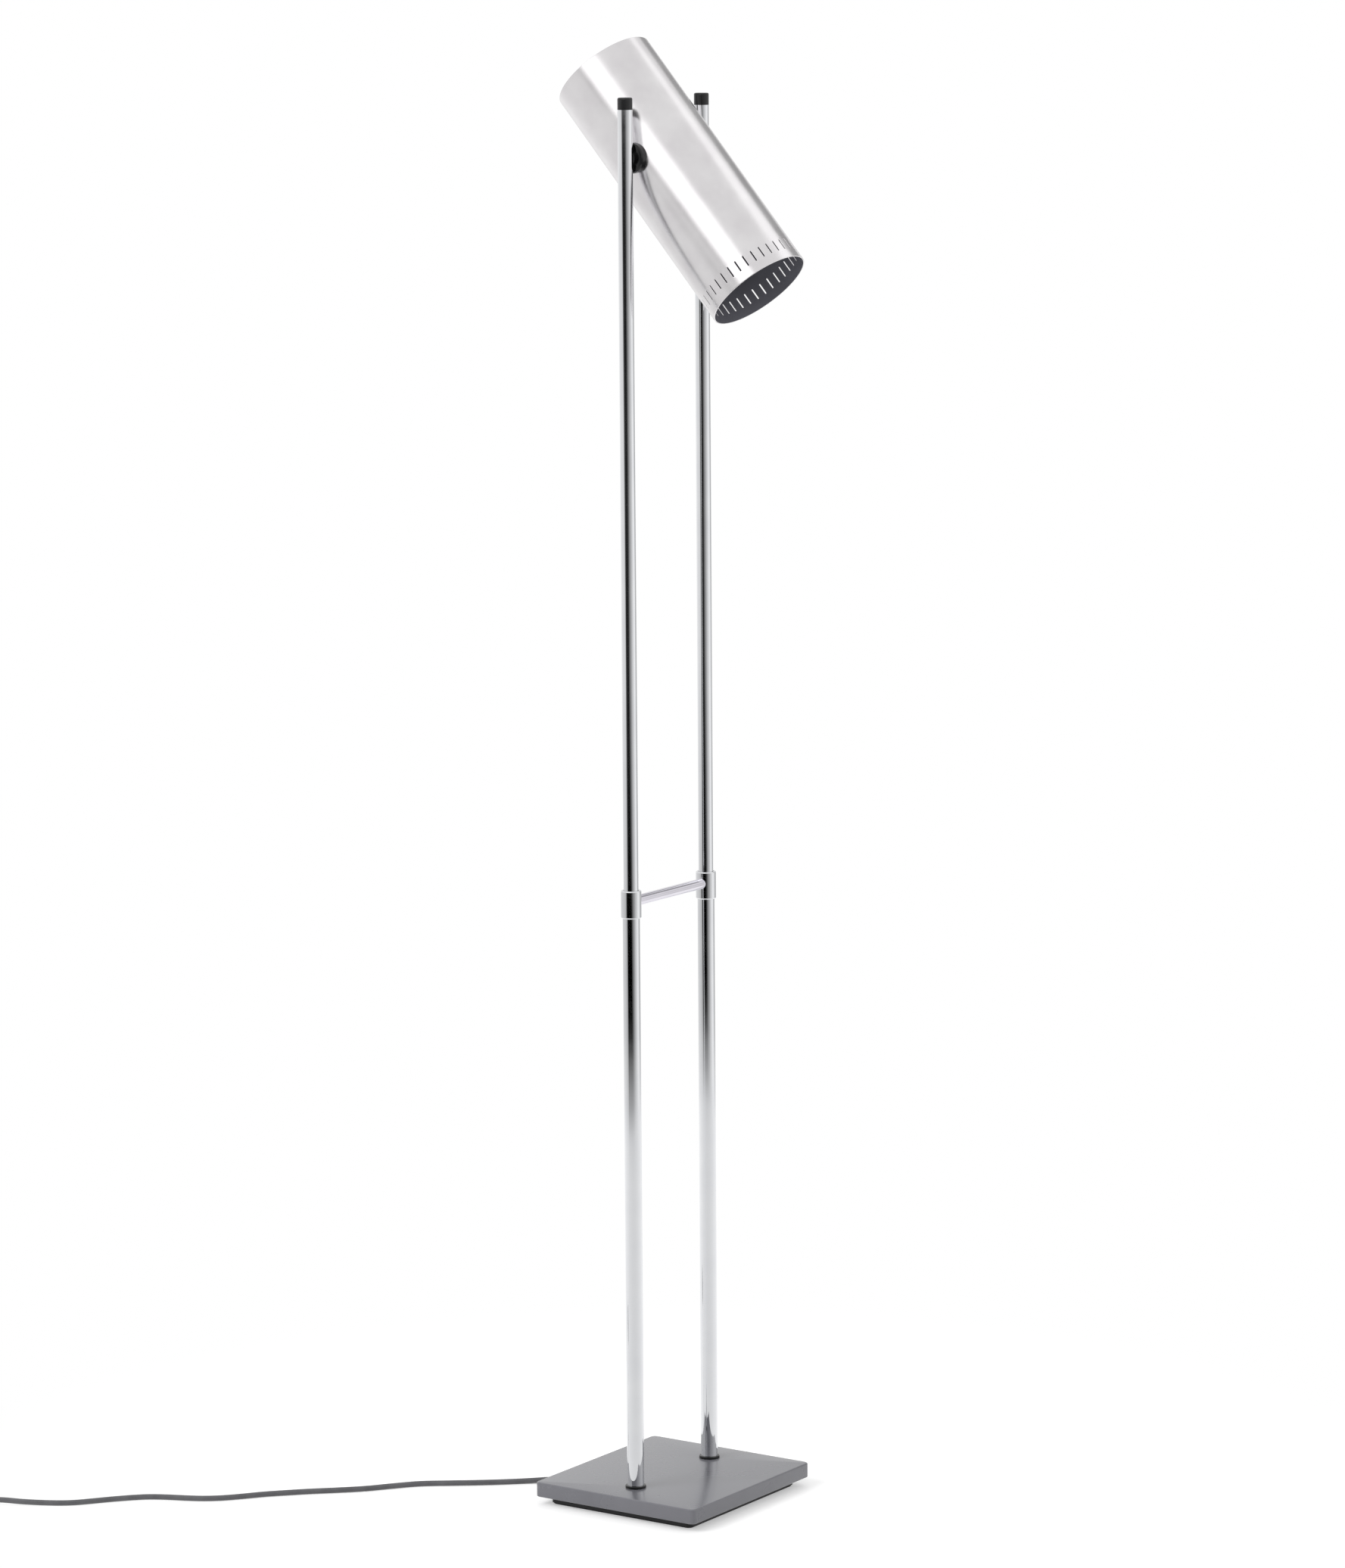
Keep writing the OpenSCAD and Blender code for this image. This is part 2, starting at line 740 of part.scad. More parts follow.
// Rocker with a hollowed top, pressed down at one end
module switch_rocker() {
    half = rocker_l / 2;
    color(black_c) at_switch() translate([rocker_x, 0, rocker_z]) rotate([0, rocker_lean, 0])
        rotate([90, 0, 0]) {
            linear_extrude(rocker_w, center = true)
                polygon([[-half + 0.2, 1], [-4.5, -1.8], [4.5, -1.8], [half - 0.2, 1],
                    [half, 7.6], [0, 6.2], [-half, 7.6]]);
            cylinder(r = rocker_pin, h = rocker_w + 3.8, center = true);
        }
}

// ---------------------------------------------------------------- slider

module sliding_rod(side) {
    difference() {
        translate([0, side * post_y, rod_z]) pipe(rod_r, rod_bore, rod_top - rod_z);
        translate([0, side * post_y, pivot_z]) rotate([side * 90, 0, 0]) cylinder(r = pin_r, h = rod_d);
    }
}

module front_rod() {
    color(chrome_c) sliding_rod(-1);
}

module rear_rod() {
    color(chrome_c) sliding_rod(1);
}

// Plug in the rod's bottom whose head runs in the lower tube
module rod_guides() {
    plug_len = 14;
    color(nylon_c) at_posts() translate([0, 0, rod_z]) difference() {
        union() {
            translate([0, 0, -guide_h]) cylinder(r = tube_bore - slide_gap, h = guide_h);
            cylinder(r = rod_bore, h = plug_len);
        }
        translate([0, 0, -guide_h - 1]) cylinder(r = wire_bore, h = guide_h + plug_len + 2);
    }
}

module rod_caps() {
    edge = 1.6;
    color(black_c) at_posts() translate([0, 0, rod_top]) {
        rotate_extrude() difference() {
            union() {
                square([rod_r - edge, cap_h]);
                square([rod_r, cap_h - edge]);
                translate([rod_r - edge, cap_h - edge]) circle(edge, $fn = 32);
            }
            translate([-rod_r, -1]) square([rod_r, cap_h + 2]);
        }
        translate([0, 0, -spigot_h]) cylinder(r = rod_bore, h = spigot_h);
    }
}

// Brass plug inside each rod that the pivot stud is screwed into
module pivot_inserts() {
    color(brass_c) for (s = sides) difference() {
        translate([0, s * post_y, pivot_z - insert_h / 2]) cylinder(r = rod_bore, h = insert_h);
        translate([0, s * pin_end, pivot_z]) rotate([s * 90, 0, 0]) cylinder(r = pin_r, h = rod_d);
        translate([0, s * post_y, pivot_z - insert_h]) cylinder(r = wire_bore, h = insert_h);
    }
}

module pivot_studs() {
    color(steel_c) translate([0, 0, pivot_z]) at_pivots() difference() {
        translate([0, 0, pin_start]) cylinder(r = pin_r, h = pin_end - pin_start);
        translate([0, 0, pin_start - 1]) cylinder(r = wire_bore, h = pin_end - pin_start + 2);
        translate([0, 0, post_y]) rotate([90, 0, 0]) cylinder(r = wire_bore, h = 2 * pin_r, center = true);
    }
}

// Saddle washer between the round rod and the flat disc
module pivot_saddles() {
    color(black_c) translate([0, 0, pivot_z]) difference() {
        at_pivots() translate([0, 0, disc_face + slide_gap]) pipe(saddle_r, pin_r, 3.5);
        at_posts() translate([0, 0, -20]) cylinder(r = rod_r, h = 40);
    }
}

module pivot_washers() {
    color(steel_c) translate([0, 0, pivot_z]) at_pivots()
        translate([0, 0, pin_washer]) pipe(saddle_r, pin_r, washer_h);
}

module pivot_nuts() {
    thick = 5;
    color(steel_c) translate([0, 0, pivot_z]) at_pivots()
        translate([0, 0, pin_washer - thick]) hex_nut(13, pin_r, thick);
}

// Lead inside the rear rod, which turns into the hollow pivot stud
module rod_lead() {
    color(cord_c) {
        translate([0, post_y, rod_z - guide_h]) cylinder(r = wire_r, h = pivot_z - rod_z + guide_h);
        translate([0, post_y, pivot_z]) sphere(wire_r);
        translate([0, post_y, pivot_z]) rotate([90, 0, 0]) cylinder(r = wire_r, h = post_y - pin_start);
    }
}

// ---------------------------------------------------------------- shade

// Wall of the shade between two heights, with a round lip at one of them
module shade_pipe(low, high, lip_at) {
    lip = shade_wall / 2;
    bottom = lip_at == low ? low + lip : low;
    top = lip_at == high ? high - lip : high;
    rotate_extrude($fn = 128) {
        translate([shade_bore, bottom]) square([shade_wall, top - bottom]);
        translate([shade_bore + lip, lip_at == low ? bottom : top]) circle(lip, $fn = 24);
    }
}

// Chromed tube from the closed end to just above the slots, with a hole on each side for its pivot
module shade_tube() {
    color(chrome_c) in_shade() difference() {
        shade_pipe(band_h - shade_down, shade_up, shade_up);
        rotate([90, 0, 0]) cylinder(r = pin_bore, h = 3 * shade_r, center = true);
    }
}

// Slotted band brazed under the tube and plated with it: the shade's mouth
module slot_band() {
    slot_z = -shade_down + slot_rim + slot_len / 2;
    color(chrome_c) in_shade() difference() {
        shade_pipe(-shade_down, band_h - shade_down, -shade_down);
        for (i = [0 : slot_count - 1]) rotate((i + 0.5) * 360 / slot_count)
            translate([shade_r, 0, slot_z]) rotate([0, 90, 0]) slot_cutter();
    }
}

// Cutter for one round-ended slot, its length along X
module slot_cutter() {
    half = (slot_len - slot_w) / 2;
    cube([2 * half, slot_w, 4 * shade_wall], center = true);
    for (s = sides) translate([s * half, 0, 0])
        cylinder(d = slot_w, h = 4 * shade_wall, center = true, $fn = 24);
}

// Pressed cap inside the closed end, with a ring of vents
module shade_top() {
    vents = 12;
    vent = [14, 4];
    vent_at = 30;
    skirt = 8;
    wall = 1.2;
    floor_z = shade_up - 4;
    color(black_c) in_shade() difference() {
        translate([0, 0, floor_z - skirt]) cylinder(r = shade_bore, h = skirt, $fn = 128);
        translate([0, 0, floor_z - skirt - 1])
            cylinder(r = shade_bore - wall, h = skirt + 1 - wall, $fn = 128);
        for (i = [0 : vents - 1]) rotate(i * 360 / vents) translate([vent_at, 0, floor_z]) {
            cube([vent.x, vent.y, 4 * wall], center = true);
            for (s = sides) translate([s * vent.x / 2, 0, 0])
                cylinder(d = vent.y, h = 4 * wall, center = true, $fn = 24);
        }
    }
}

// Black disc between shade and rod: flat towards the rod, hollowed to seat on the round shade
module pivot_discs() {
    edge = 1;
    color(black_c) in_shade() difference() {
        at_pivots() translate([0, 0, shade_bore]) {
            cylinder(d = disc_d, h = disc_face - shade_bore - edge);
            translate([0, 0, disc_face - shade_bore - edge])
                cylinder(d1 = disc_d, d2 = disc_d - 2 * edge, h = edge);
        }
        translate([0, 0, -disc_d]) cylinder(r = shade_r, h = 2 * disc_d, $fn = 128);
        rotate([90, 0, 0]) cylinder(r = pin_bore, h = 3 * shade_r, center = true);
    }
}

// Bent strap: a leg on each pivot and a web across the shade that carries the lampholder
module holder_bracket() {
    hole_h = 4 * strap_t;
    color(black_c) in_shade() difference() {
        union() {
            translate([-strap_w / 2, -strap_y, strap_top - strap_t]) cube([strap_w, 2 * strap_y, strap_t]);
            for (s = sides) translate([-strap_w / 2, s * (strap_y - strap_t / 2) - strap_t / 2, 0])
                cube([strap_w, strap_t, strap_top]);
            for (s = sides) rotate([s * -90, 0, 0])
                translate([0, 0, strap_y - strap_t]) cylinder(d = strap_w, h = strap_t);
        }
        rotate([90, 0, 0]) cylinder(r = pin_bore, h = 3 * shade_r, center = true);
        translate([0, lead_y, strap_top]) cylinder(r = wire_r + 0.6, h = hole_h, center = true);
        translate([0, 0, strap_top]) cylinder(r = nipple_r, h = hole_h, center = true);
    }
}

// Moulded lampholder: cap, ringed skirt and a shoulder where they screw together
module lampholder() {
    color(bakelite_c) in_shade() difference() {
        translate([0, 0, neck_z]) rotate_extrude() polygon([
            [0, 0], [holder_r - 1, 0], [holder_r, 1], [holder_r, 5], [holder_r - 1.5, 6],
            [holder_r - 1.5, 26], [holder_r - 0.5, 27], [holder_r - 0.5, 31], [holder_r - 2, 32],
            [holder_r - 3, 44], [holder_r - 7, 51], [holder_r - 10, holder_len], [0, holder_len]]);
        translate([0, 0, neck_z - 1]) cylinder(r = cavity_r, h = cavity_z - neck_z + 1);
        translate([0, 0, neck_z + 20]) cylinder(r = nipple_r, h = holder_len);
    }
}

// Screw shell that takes the bulb's cap, and the contact bar behind it
module holder_shell() {
    shell_z = neck_z + 5;
    contact = [20, 5];
    color(brass_c) in_shade() {
        translate([0, 0, shell_z]) pipe(cavity_r, thread_r + slide_gap, cavity_z - shell_z - 4);
        translate([-contact.x / 2, -contact.y / 2, bulb_low + cap_len])
            cube([contact.x, contact.y, cavity_z - bulb_low - cap_len]);
    }
}

// Threaded nipple through the web with a nut above it
module holder_nipple() {
    start = neck_z + 38;
    color(steel_c) in_shade() {
        translate([0, 0, start]) pipe(nipple_r, stud_bore, nipple_top - start);
        translate([0, 0, strap_top]) hex_nut(14, nipple_r, 3.5);
    }
}

module shade_lead() {
    color(cord_c) in_shade() sweep(smooth(shade_route, 2), wire_r, 8, [0, -1, 0], [0, 0, -1]);
}

// Screw cap of the bulb: rounded thread ridges and a contact at the end
module bulb_cap() {
    ridges = 5;
    pitch = 3.6;
    nose = 4;
    nose_r = 5;
    color(chrome_c) in_shade() translate([0, 0, bulb_low]) {
        cylinder(r = bulb_neck, h = cap_len - nose);
        for (i = [0 : ridges - 1]) translate([0, 0, nose + i * pitch]) rotate_extrude()
            translate([thread_r - 1, 0]) circle(1, $fn = 24);
        translate([0, 0, cap_len - nose]) cylinder(r1 = bulb_neck, r2 = nose_r, h = nose);
    }
}

// Half outline of the glass from the globe's end to the neck along a flared curve, drawn in by inset
function bulb_line(inset) =
    let (r = globe_r - inset, neck = bulb_neck - inset, flare = 12, join = asin((neck + 5) / r))
    concat([for (a = [0 : 5 : 180 - join]) [r * sin(a), globe_z - r * cos(a)]],
        [[neck + 2, bulb_low - flare], [neck + 0.4, bulb_low - flare / 2], [neck, bulb_low]]);

function reversed(p) = [for (i = [len(p) - 1 : -1 : 0]) p[i]];

module bulb_glass() {
    color(glass_c) in_shade() rotate_extrude()
        polygon(concat(bulb_line(0), reversed(bulb_line(glass_t))));
}

base_plate();
base_plinth();
base_pad();
plinth_screws();
foot_washers();
front_tube();
rear_tube();
tube_studs();
tube_nuts();
front_collar();
rear_collar();
collar_bushes();
collar_grubs();
crossbar();
cable_gland();
base_lead();
tube_lead();
cord();
cord_link();
cord_coil();
cord_tail();
cord_tie();
plug_body();
plug_pins();
switch_base();
switch_cover();
switch_screws();
switch_rocker();
front_rod();
rear_rod();
rod_guides();
rod_caps();
pivot_inserts();
pivot_studs();
pivot_saddles();
pivot_washers();
pivot_nuts();
rod_lead();
shade_tube();
slot_band();
shade_top();
pivot_discs();
holder_bracket();
lampholder();
holder_shell();
holder_nipple();
shade_lead();
bulb_cap();
bulb_glass();
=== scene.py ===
"""Studio scene of a telescopic floor lamp, dressed around its fixed CAD frame.

Lengths are in metres in the frame's own axes: +Z is up, the floor is z = 0 and both posts
stand on the Y axis. Sizes given in millimetres say so in their names.
"""
import json
import logging
import math
from collections.abc import Callable, Iterable, Sequence
from dataclasses import dataclass, field
from enum import Enum

import bmesh
import bpy
from mathutils import Matrix, Vector


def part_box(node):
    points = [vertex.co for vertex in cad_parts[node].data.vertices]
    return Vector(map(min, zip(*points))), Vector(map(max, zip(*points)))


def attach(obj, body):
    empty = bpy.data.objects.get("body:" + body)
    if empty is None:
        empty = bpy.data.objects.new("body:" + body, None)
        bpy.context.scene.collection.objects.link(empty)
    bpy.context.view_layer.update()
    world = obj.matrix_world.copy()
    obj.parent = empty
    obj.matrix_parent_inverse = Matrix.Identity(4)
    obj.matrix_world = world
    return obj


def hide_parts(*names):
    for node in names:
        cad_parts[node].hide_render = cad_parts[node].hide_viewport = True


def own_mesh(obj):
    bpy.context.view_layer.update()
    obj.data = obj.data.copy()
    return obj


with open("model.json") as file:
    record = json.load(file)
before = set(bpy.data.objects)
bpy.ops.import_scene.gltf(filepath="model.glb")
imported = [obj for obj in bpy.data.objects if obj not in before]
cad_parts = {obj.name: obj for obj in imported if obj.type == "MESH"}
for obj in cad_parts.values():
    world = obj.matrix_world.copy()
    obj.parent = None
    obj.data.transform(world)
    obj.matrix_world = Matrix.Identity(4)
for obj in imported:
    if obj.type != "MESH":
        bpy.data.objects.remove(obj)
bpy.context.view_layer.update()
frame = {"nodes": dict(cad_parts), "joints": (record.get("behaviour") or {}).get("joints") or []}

LOG = logging.getLogger("floor_lamp")
MM = 0.001
PHOTO_PIXELS = (1777, 2072)
SHADE_TILT = -41.0

Flat = tuple[float, float]
Point = tuple[float, float, float]
Ring = list[bmesh.types.BMVert]


# ---------------------------------------------------------------- names

class Body(Enum):
    """The frame's bodies, which the pieces ride on."""

    STAND = "stand"
    SLIDER = "slider"
    SHADE = "shade"


class Lines(Enum):
    """How a pattern is stretched into buffing lines: upright, along Y or round the tube."""

    UPRIGHT = (1.0, 1.0, 0.02)
    CROSSWAYS = (1.0, 0.02, 1.0)
    ROUND = (0.02, 0.02, 1.0)


# ---------------------------------------------------------------- helpers

def linear(hex_colour: str) -> tuple[float, float, float, float]:
    """Turns an sRGB hex colour to linear light.

    Args:
        hex_colour: Colour as "#RRGGBB".

    Returns:
        Red, green, blue and an alpha of 1.
    """
    parts = [int(hex_colour[i:i + 2], 16) / 255 for i in (1, 3, 5)]
    light = [p / 12.92 if p <= 0.04045 else ((p + 0.055) / 1.055) ** 2.4 for p in parts]
    return (light[0], light[1], light[2], 1.0)


def ease(share: float) -> float:
    """Eases a share from 0 to 1, level at both ends."""
    t = min(max(share, 0.0), 1.0)
    return t * t * (3 - 2 * t)


def smooth_line(points: Sequence[Vector], steps: int) -> list[Vector]:
    """Finds a smooth line through points.

    Args:
        points: Points that the line passes.
        steps: Stretches between two neighbours.

    Returns:
        Points along the line, the ends included.
    """
    line = []
    for i in range(len(points) - 1):
        before, here, there = points[max(i - 1, 0)], points[i], points[i + 1]
        after = points[min(i + 2, len(points) - 1)]
        for k in range(steps):
            t = k / steps
            line.append(0.5 * (2 * here + (there - before) * t
                               + (2 * before - 5 * here + 4 * there - after) * t ** 2
                               + (3 * here - before - 3 * there + after) * t ** 3))
    return [*line, points[-1].copy()]


def line_length(points: Sequence[Vector]) -> float:
    """Adds up the stretches of a line."""
    return sum((b - a).length for a, b in zip(points, points[1:]))


def shares(first: float, last: float, steps: int) -> list[float]:
    """Splits a span in equal steps, the ends included."""
    return [first + (last - first) * k / steps for k in range(steps + 1)]


def arc(mid_u: float, mid_v: float, radius: float, start: float, end: float,
        steps: int) -> list[Flat]:
    """Finds points on an arc in a plane.

    Args:
        mid_u: First coordinate of the arc's middle.
        mid_v: Second coordinate of the arc's middle.
        radius: Radius of the arc.
        start: Angle of its first point, in degrees.
        end: Angle of its last point, in degrees.
        steps: Stretches between them.

    Returns:
        The points, the ends included.
    """
    angles = [math.radians(angle) for angle in shares(start, end, steps)]
    return [(mid_u + radius * math.cos(a), mid_v + radius * math.sin(a)) for a in angles]


def round_rect(width: float, depth: float, radius: float, steps: int) -> list[Flat]:
    """Finds the outline of a rectangle with round corners, anticlockwise round the origin.

    Args:
        width: Size along the first axis.
        depth: Size along the second axis.
        radius: Radius of the corners.
        steps: Stretches in each corner.

    Returns:
        The outline's points.
    """
    outline = []
    for quarter, (sx, sy) in enumerate(((1, 1), (-1, 1), (-1, -1), (1, -1))):
        mid = (sx * (width / 2 - radius), sy * (depth / 2 - radius))
        outline += arc(*mid, radius, 90 * quarter, 90 * quarter + 90, steps)
    return outline


def add_ring(bm: bmesh.types.BMesh, outline: Iterable[Flat], z: float) -> Ring:
    """Adds a level ring of vertices to a mesh."""
    return [bm.verts.new((x, y, z)) for x, y in outline]


def skin(bm: bmesh.types.BMesh, rings: Sequence[Ring]) -> None:
    """Joins each ring of vertices to the next with a band of faces."""
    for low, high in zip(rings, rings[1:]):
        for k in range(len(low)):
            after = (k + 1) % len(low)
            bm.faces.new((low[k], low[after], high[after], high[k]))


def fill_between(bm: bmesh.types.BMesh, rings: Sequence[Ring]) -> None:
    """Fills the flat space between an outer ring and the rings of its holes."""
    edges = []
    for ring in rings:
        for k, vert in enumerate(ring):
            after = ring[(k + 1) % len(ring)]
            edges.append(bm.edges.get((vert, after)) or bm.edges.new((vert, after)))
    bmesh.ops.triangle_fill(bm, use_beauty=True, edges=edges)


def make_object(name: str, bm: bmesh.types.BMesh, finish: bpy.types.Material,
                flat_over: float = 32.0) -> bpy.types.Object:
    """Makes an object of a mesh, smooth but for its sharp edges.

    Args:
        name: Name of the object.
        bm: The mesh, which is freed.
        finish: Material of its faces.
        flat_over: Angle between faces, in degrees, over which an edge stays sharp.

    Returns:
        The new object.
    """
    bmesh.ops.recalc_face_normals(bm, faces=bm.faces)
    mesh = bpy.data.meshes.new(name)
    bm.to_mesh(mesh)
    bm.free()
    mesh.materials.append(finish)
    mesh.polygons.foreach_set("use_smooth", [True] * len(mesh.polygons))
    mesh.set_sharp_from_angle(angle=math.radians(flat_over))
    piece = bpy.data.objects.new(name, mesh)
    bpy.context.scene.collection.objects.link(piece)
    return piece


def make_curve(name: str, points: Sequence[Vector], radius: float, finish: bpy.types.Material,
               sizes: Sequence[float] = ()) -> bpy.types.Object:
    """Makes a round cord along a line.

    Args:
        name: Name of the object.
        points: The line that the cord's middle follows.
        radius: Radius of the cord.
        finish: Material of its sheath.
        sizes: Share of the radius at each point, or nothing for the full radius.

    Returns:
        The curve object, of one open spline.
    """
    curve = bpy.data.curves.new(name, "CURVE")
    curve.dimensions = "3D"
    curve.bevel_depth = radius
    curve.bevel_resolution = 5
    curve.use_fill_caps = True
    spline = curve.splines.new("POLY")
    spline.points.add(len(points) - 1)
    for k, point in enumerate(points):
        spline.points[k].co = (*point, 1.0)
        spline.points[k].radius = sizes[k] if sizes else 1.0
    spline.use_smooth = True
    curve.materials.append(finish)
    cord = bpy.data.objects.new(name, curve)
    bpy.context.scene.collection.objects.link(cord)
    return cord


def as_mesh(curve: bpy.types.Object) -> bpy.types.Object:
    """Turns a curve object to a mesh object of the same name and look."""
    name = curve.name
    evaluated = curve.evaluated_get(bpy.context.evaluated_depsgraph_get())
    mesh = bpy.data.meshes.new_from_object(evaluated)
    bpy.data.objects.remove(curve)
    piece = bpy.data.objects.new(name, mesh)
    bpy.context.scene.collection.objects.link(piece)
    return piece


def place(piece: bpy.types.Object, body: Body, slot: str, *stands_for: str) -> bpy.types.Object:
    """Makes a piece ride on its body and hides the frame's nodes that it stands for.

    Args:
        piece: The piece, in its place.
        body: Body that it rides on.
        slot: Material slot of the record; not used.
        stands_for: Nodes of the frame that it replaces.

    Returns:
        The piece.
    """
    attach(piece, body.value)
    if stands_for:
        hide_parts(*stands_for)
    LOG.info("%s rides on %s", piece.name, body.value)
    return piece


def shade_frame() -> Matrix:
    """Finds the shade's own frame at rest: its pivot, and its lean from hanging straight down."""
    pivot = Vector(frame["joints"][1]["pos_m"])
    return Matrix.Translation(pivot) @ Matrix.Rotation(math.radians(SHADE_TILT), 4, "Y")


def dress(finish: bpy.types.Material, *nodes: str) -> None:
    """Gives the frame's own nodes a finish."""
    for name in nodes:
        mesh = frame["nodes"][name].data
        mesh.materials.clear()
        mesh.materials.append(finish)
        LOG.info("%s is dressed in %s", name, finish.name)


# ---------------------------------------------------------------- finishes

class Graph:
    """The nodes of one material, round a single shader."""

    def __init__(self, name: str) -> None:
        """Starts a material with a Principled shader and nothing else."""
        self.material = bpy.data.materials.new(name)
        self.material.use_nodes = True
        self.tree = self.material.node_tree
        self.shader = self.tree.nodes["Principled BSDF"]
        self.place = self.add("ShaderNodeTexCoord").outputs["Object"]

    def add(self, kind: str, settings: dict | None = None, links: dict | None = None) -> bpy.types.Node:
        """Adds a node.

        Args:
            kind: Blender's name for the kind of node.
            settings: Values of its properties or its inputs, by name or place.
            links: Sockets that feed its inputs, by the input's name or place.

        Returns:
            The new node.
        """
        node = self.tree.nodes.new(kind)
        for key, value in (settings or {}).items():
            if isinstance(key, str) and hasattr(node, key):
                setattr(node, key, value)
            else:
                node.inputs[key].default_value = value
        for key, source in (links or {}).items():
            self.tree.links.new(source, node.inputs[key])
        return node

    def set(self, **values: float | tuple) -> None:
        """Sets the shader's sockets; an underscore in a name stands for a space."""
        for key, value in values.items():
            self.shader.inputs[key.replace("_", " ")].default_value = value

    def noise(self, size_mm: float, detail: float = 2.0,
              stretch: Point = (1.0, 1.0, 1.0)) -> bpy.types.NodeSocket:
        """Makes a cloudy pattern of a real size.

        Args:
            size_mm: Size of one cloud, in millimetres.
            detail: Number of finer layers on it.
            stretch: Share of the pattern's frequency left along each axis.

        Returns:
            The pattern, from 0 to 1.
        """
        mapped = self.add("ShaderNodeMapping", {"Scale": stretch}, {"Vector": self.place})
        pattern = self.add("ShaderNodeTexNoise", {"Scale": 1000 / size_mm, "Detail": detail},
                           {"Vector": mapped.outputs["Vector"]})
        return pattern.outputs[0]

    def spread(self, pattern: bpy.types.NodeSocket, low: float, high: float) -> bpy.types.NodeSocket:
        """Spreads the middle of a cloudy pattern over a range of values."""
        mapped = self.add("ShaderNodeMapRange",
                          {"From Min": 0.3, "From Max": 0.7, "To Min": low, "To Max": high},
                          {"Value": pattern})
        return mapped.outputs[0]

    def tones(self, pattern: bpy.types.NodeSocket, dark: str, light: str) -> None:
        """Colours the shader from dark to light along a cloudy pattern."""
        ramp = self.add("ShaderNodeValToRGB", {}, {0: pattern})
        ramp.color_ramp.elements[0].position = 0.3
        ramp.color_ramp.elements[0].color = linear(dark)
        ramp.color_ramp.elements[1].position = 0.7
        ramp.color_ramp.elements[1].color = linear(light)
        self.tree.links.new(ramp.outputs["Color"], self.shader.inputs["Base Color"])

    def rough(self, pattern: bpy.types.NodeSocket, low: float, high: float) -> None:
        """Lets the shader's roughness wander between two values."""
        self.tree.links.new(self.spread(pattern, low, high), self.shader.inputs["Roughness"])

    def relief(self, *layers: tuple[bpy.types.NodeSocket, float]) -> None:
        """Raises the surface by patterns of a real height.

        Args:
            layers: Each a pattern and the height of its peaks in millimetres.
        """
        normal = None
        for pattern, height_mm in layers:
            feed = {"Height": pattern} | ({"Normal": normal} if normal else {})
            bump = self.add("ShaderNodeBump", {"Strength": 1.0, "Distance": height_mm * MM}, feed)
            normal = bump.outputs["Normal"]
        self.tree.links.new(normal, self.shader.inputs["Normal"])


@dataclass(frozen=True)
class Chrome:
    """Bright nickel and thin chromium over ground and buffed steel tube.

    It mirrors the room almost sharply. Faint lines show where the wheel that buffed it went, and a
    thin haze of handling lies in clouds.
    """

    name: str
    colour: str = "#F1F2F4"
    shade_colour: str = "#ECEDF0"
    gloss: Flat = (0.035, 0.075)
    haze_mm: float = 28.0
    line_mm: float = 0.9
    line_height_mm: float = 0.0003
    lines: Lines = Lines.UPRIGHT

    def make(self) -> bpy.types.Material:
        """Builds the material."""
        graph = Graph(self.name)
        graph.set(Metallic=1.0)
        haze = graph.noise(self.haze_mm, 3)
        graph.tones(haze, self.shade_colour, self.colour)
        graph.rough(haze, *self.gloss)
        # Real buffing lines are finer than 0.1 mm; these are as coarse as it takes to see them
        graph.relief((graph.noise(self.line_mm, 1, self.lines.value), self.line_height_mm))
        return graph.material


@dataclass(frozen=True)
class Lacquer:
    """Sprayed and stoved lacquer over steel: a glossy skin with a faint orange-peel wave."""

    name: str
    dark: str
    light: str
    gloss: Flat
    coat: float
    coat_roughness: float
    peel_mm: float = 1.6
    peel_height_mm: float = 0.0004
    cloud_mm: float = 45.0

    def make(self) -> bpy.types.Material:
        """Builds the material."""
        graph = Graph(self.name)
        graph.set(Coat_Weight=self.coat, Coat_Roughness=self.coat_roughness)
        cloud = graph.noise(self.cloud_mm, 4)
        graph.tones(cloud, self.dark, self.light)
        graph.rough(cloud, *self.gloss)
        graph.relief((graph.noise(self.peel_mm, 1), self.peel_height_mm))
        return graph.material


@dataclass(frozen=True)
class PowderCoat:
    """Black polyester powder baked on steel: a dull skin of small even bumps."""

    name: str = "black_powder_coat"
    dark: str = "#101011"
    light: str = "#1B1B1D"
    grain_mm: float = 0.7
    grain_height_mm: float = 0.03

    def make(self) -> bpy.types.Material:
        """Builds the material."""
        graph = Graph(self.name)
        grain = graph.noise(self.grain_mm, 2)
        graph.tones(grain, self.dark, self.light)
        graph.rough(grain, 0.5, 0.66)
        graph.relief((grain, self.grain_height_mm))
        return graph.material


@dataclass(frozen=True)
class Felt:
    """Pressed wool felt: no gloss, crossed fibres and a soft light edge."""

    name: str = "pressed_wool_felt"
    dark: str = "#1D1D1F"
    light: str = "#3A3A3D"
    fibre_mm: float = 0.6
    fibre_height_mm: float = 0.12

    def make(self) -> bpy.types.Material:
        """Builds the material."""
        graph = Graph(self.name)
        graph.set(Roughness=0.95, Sheen_Weight=0.4, Sheen_Roughness=0.5, Specular_IOR_Level=0.2)
        one_way = graph.noise(self.fibre_mm, 3, (1.0, 0.15, 1.0))
        other_way = graph.noise(self.fibre_mm, 3, (0.15, 1.0, 1.0))
        crossed = graph.add("ShaderNodeMath", {"operation": "MAXIMUM"}, {0: one_way, 1: other_way})
        graph.tones(crossed.outputs[0], self.dark, self.light)
        graph.relief((crossed.outputs[0], self.fibre_height_mm))
        return graph.material


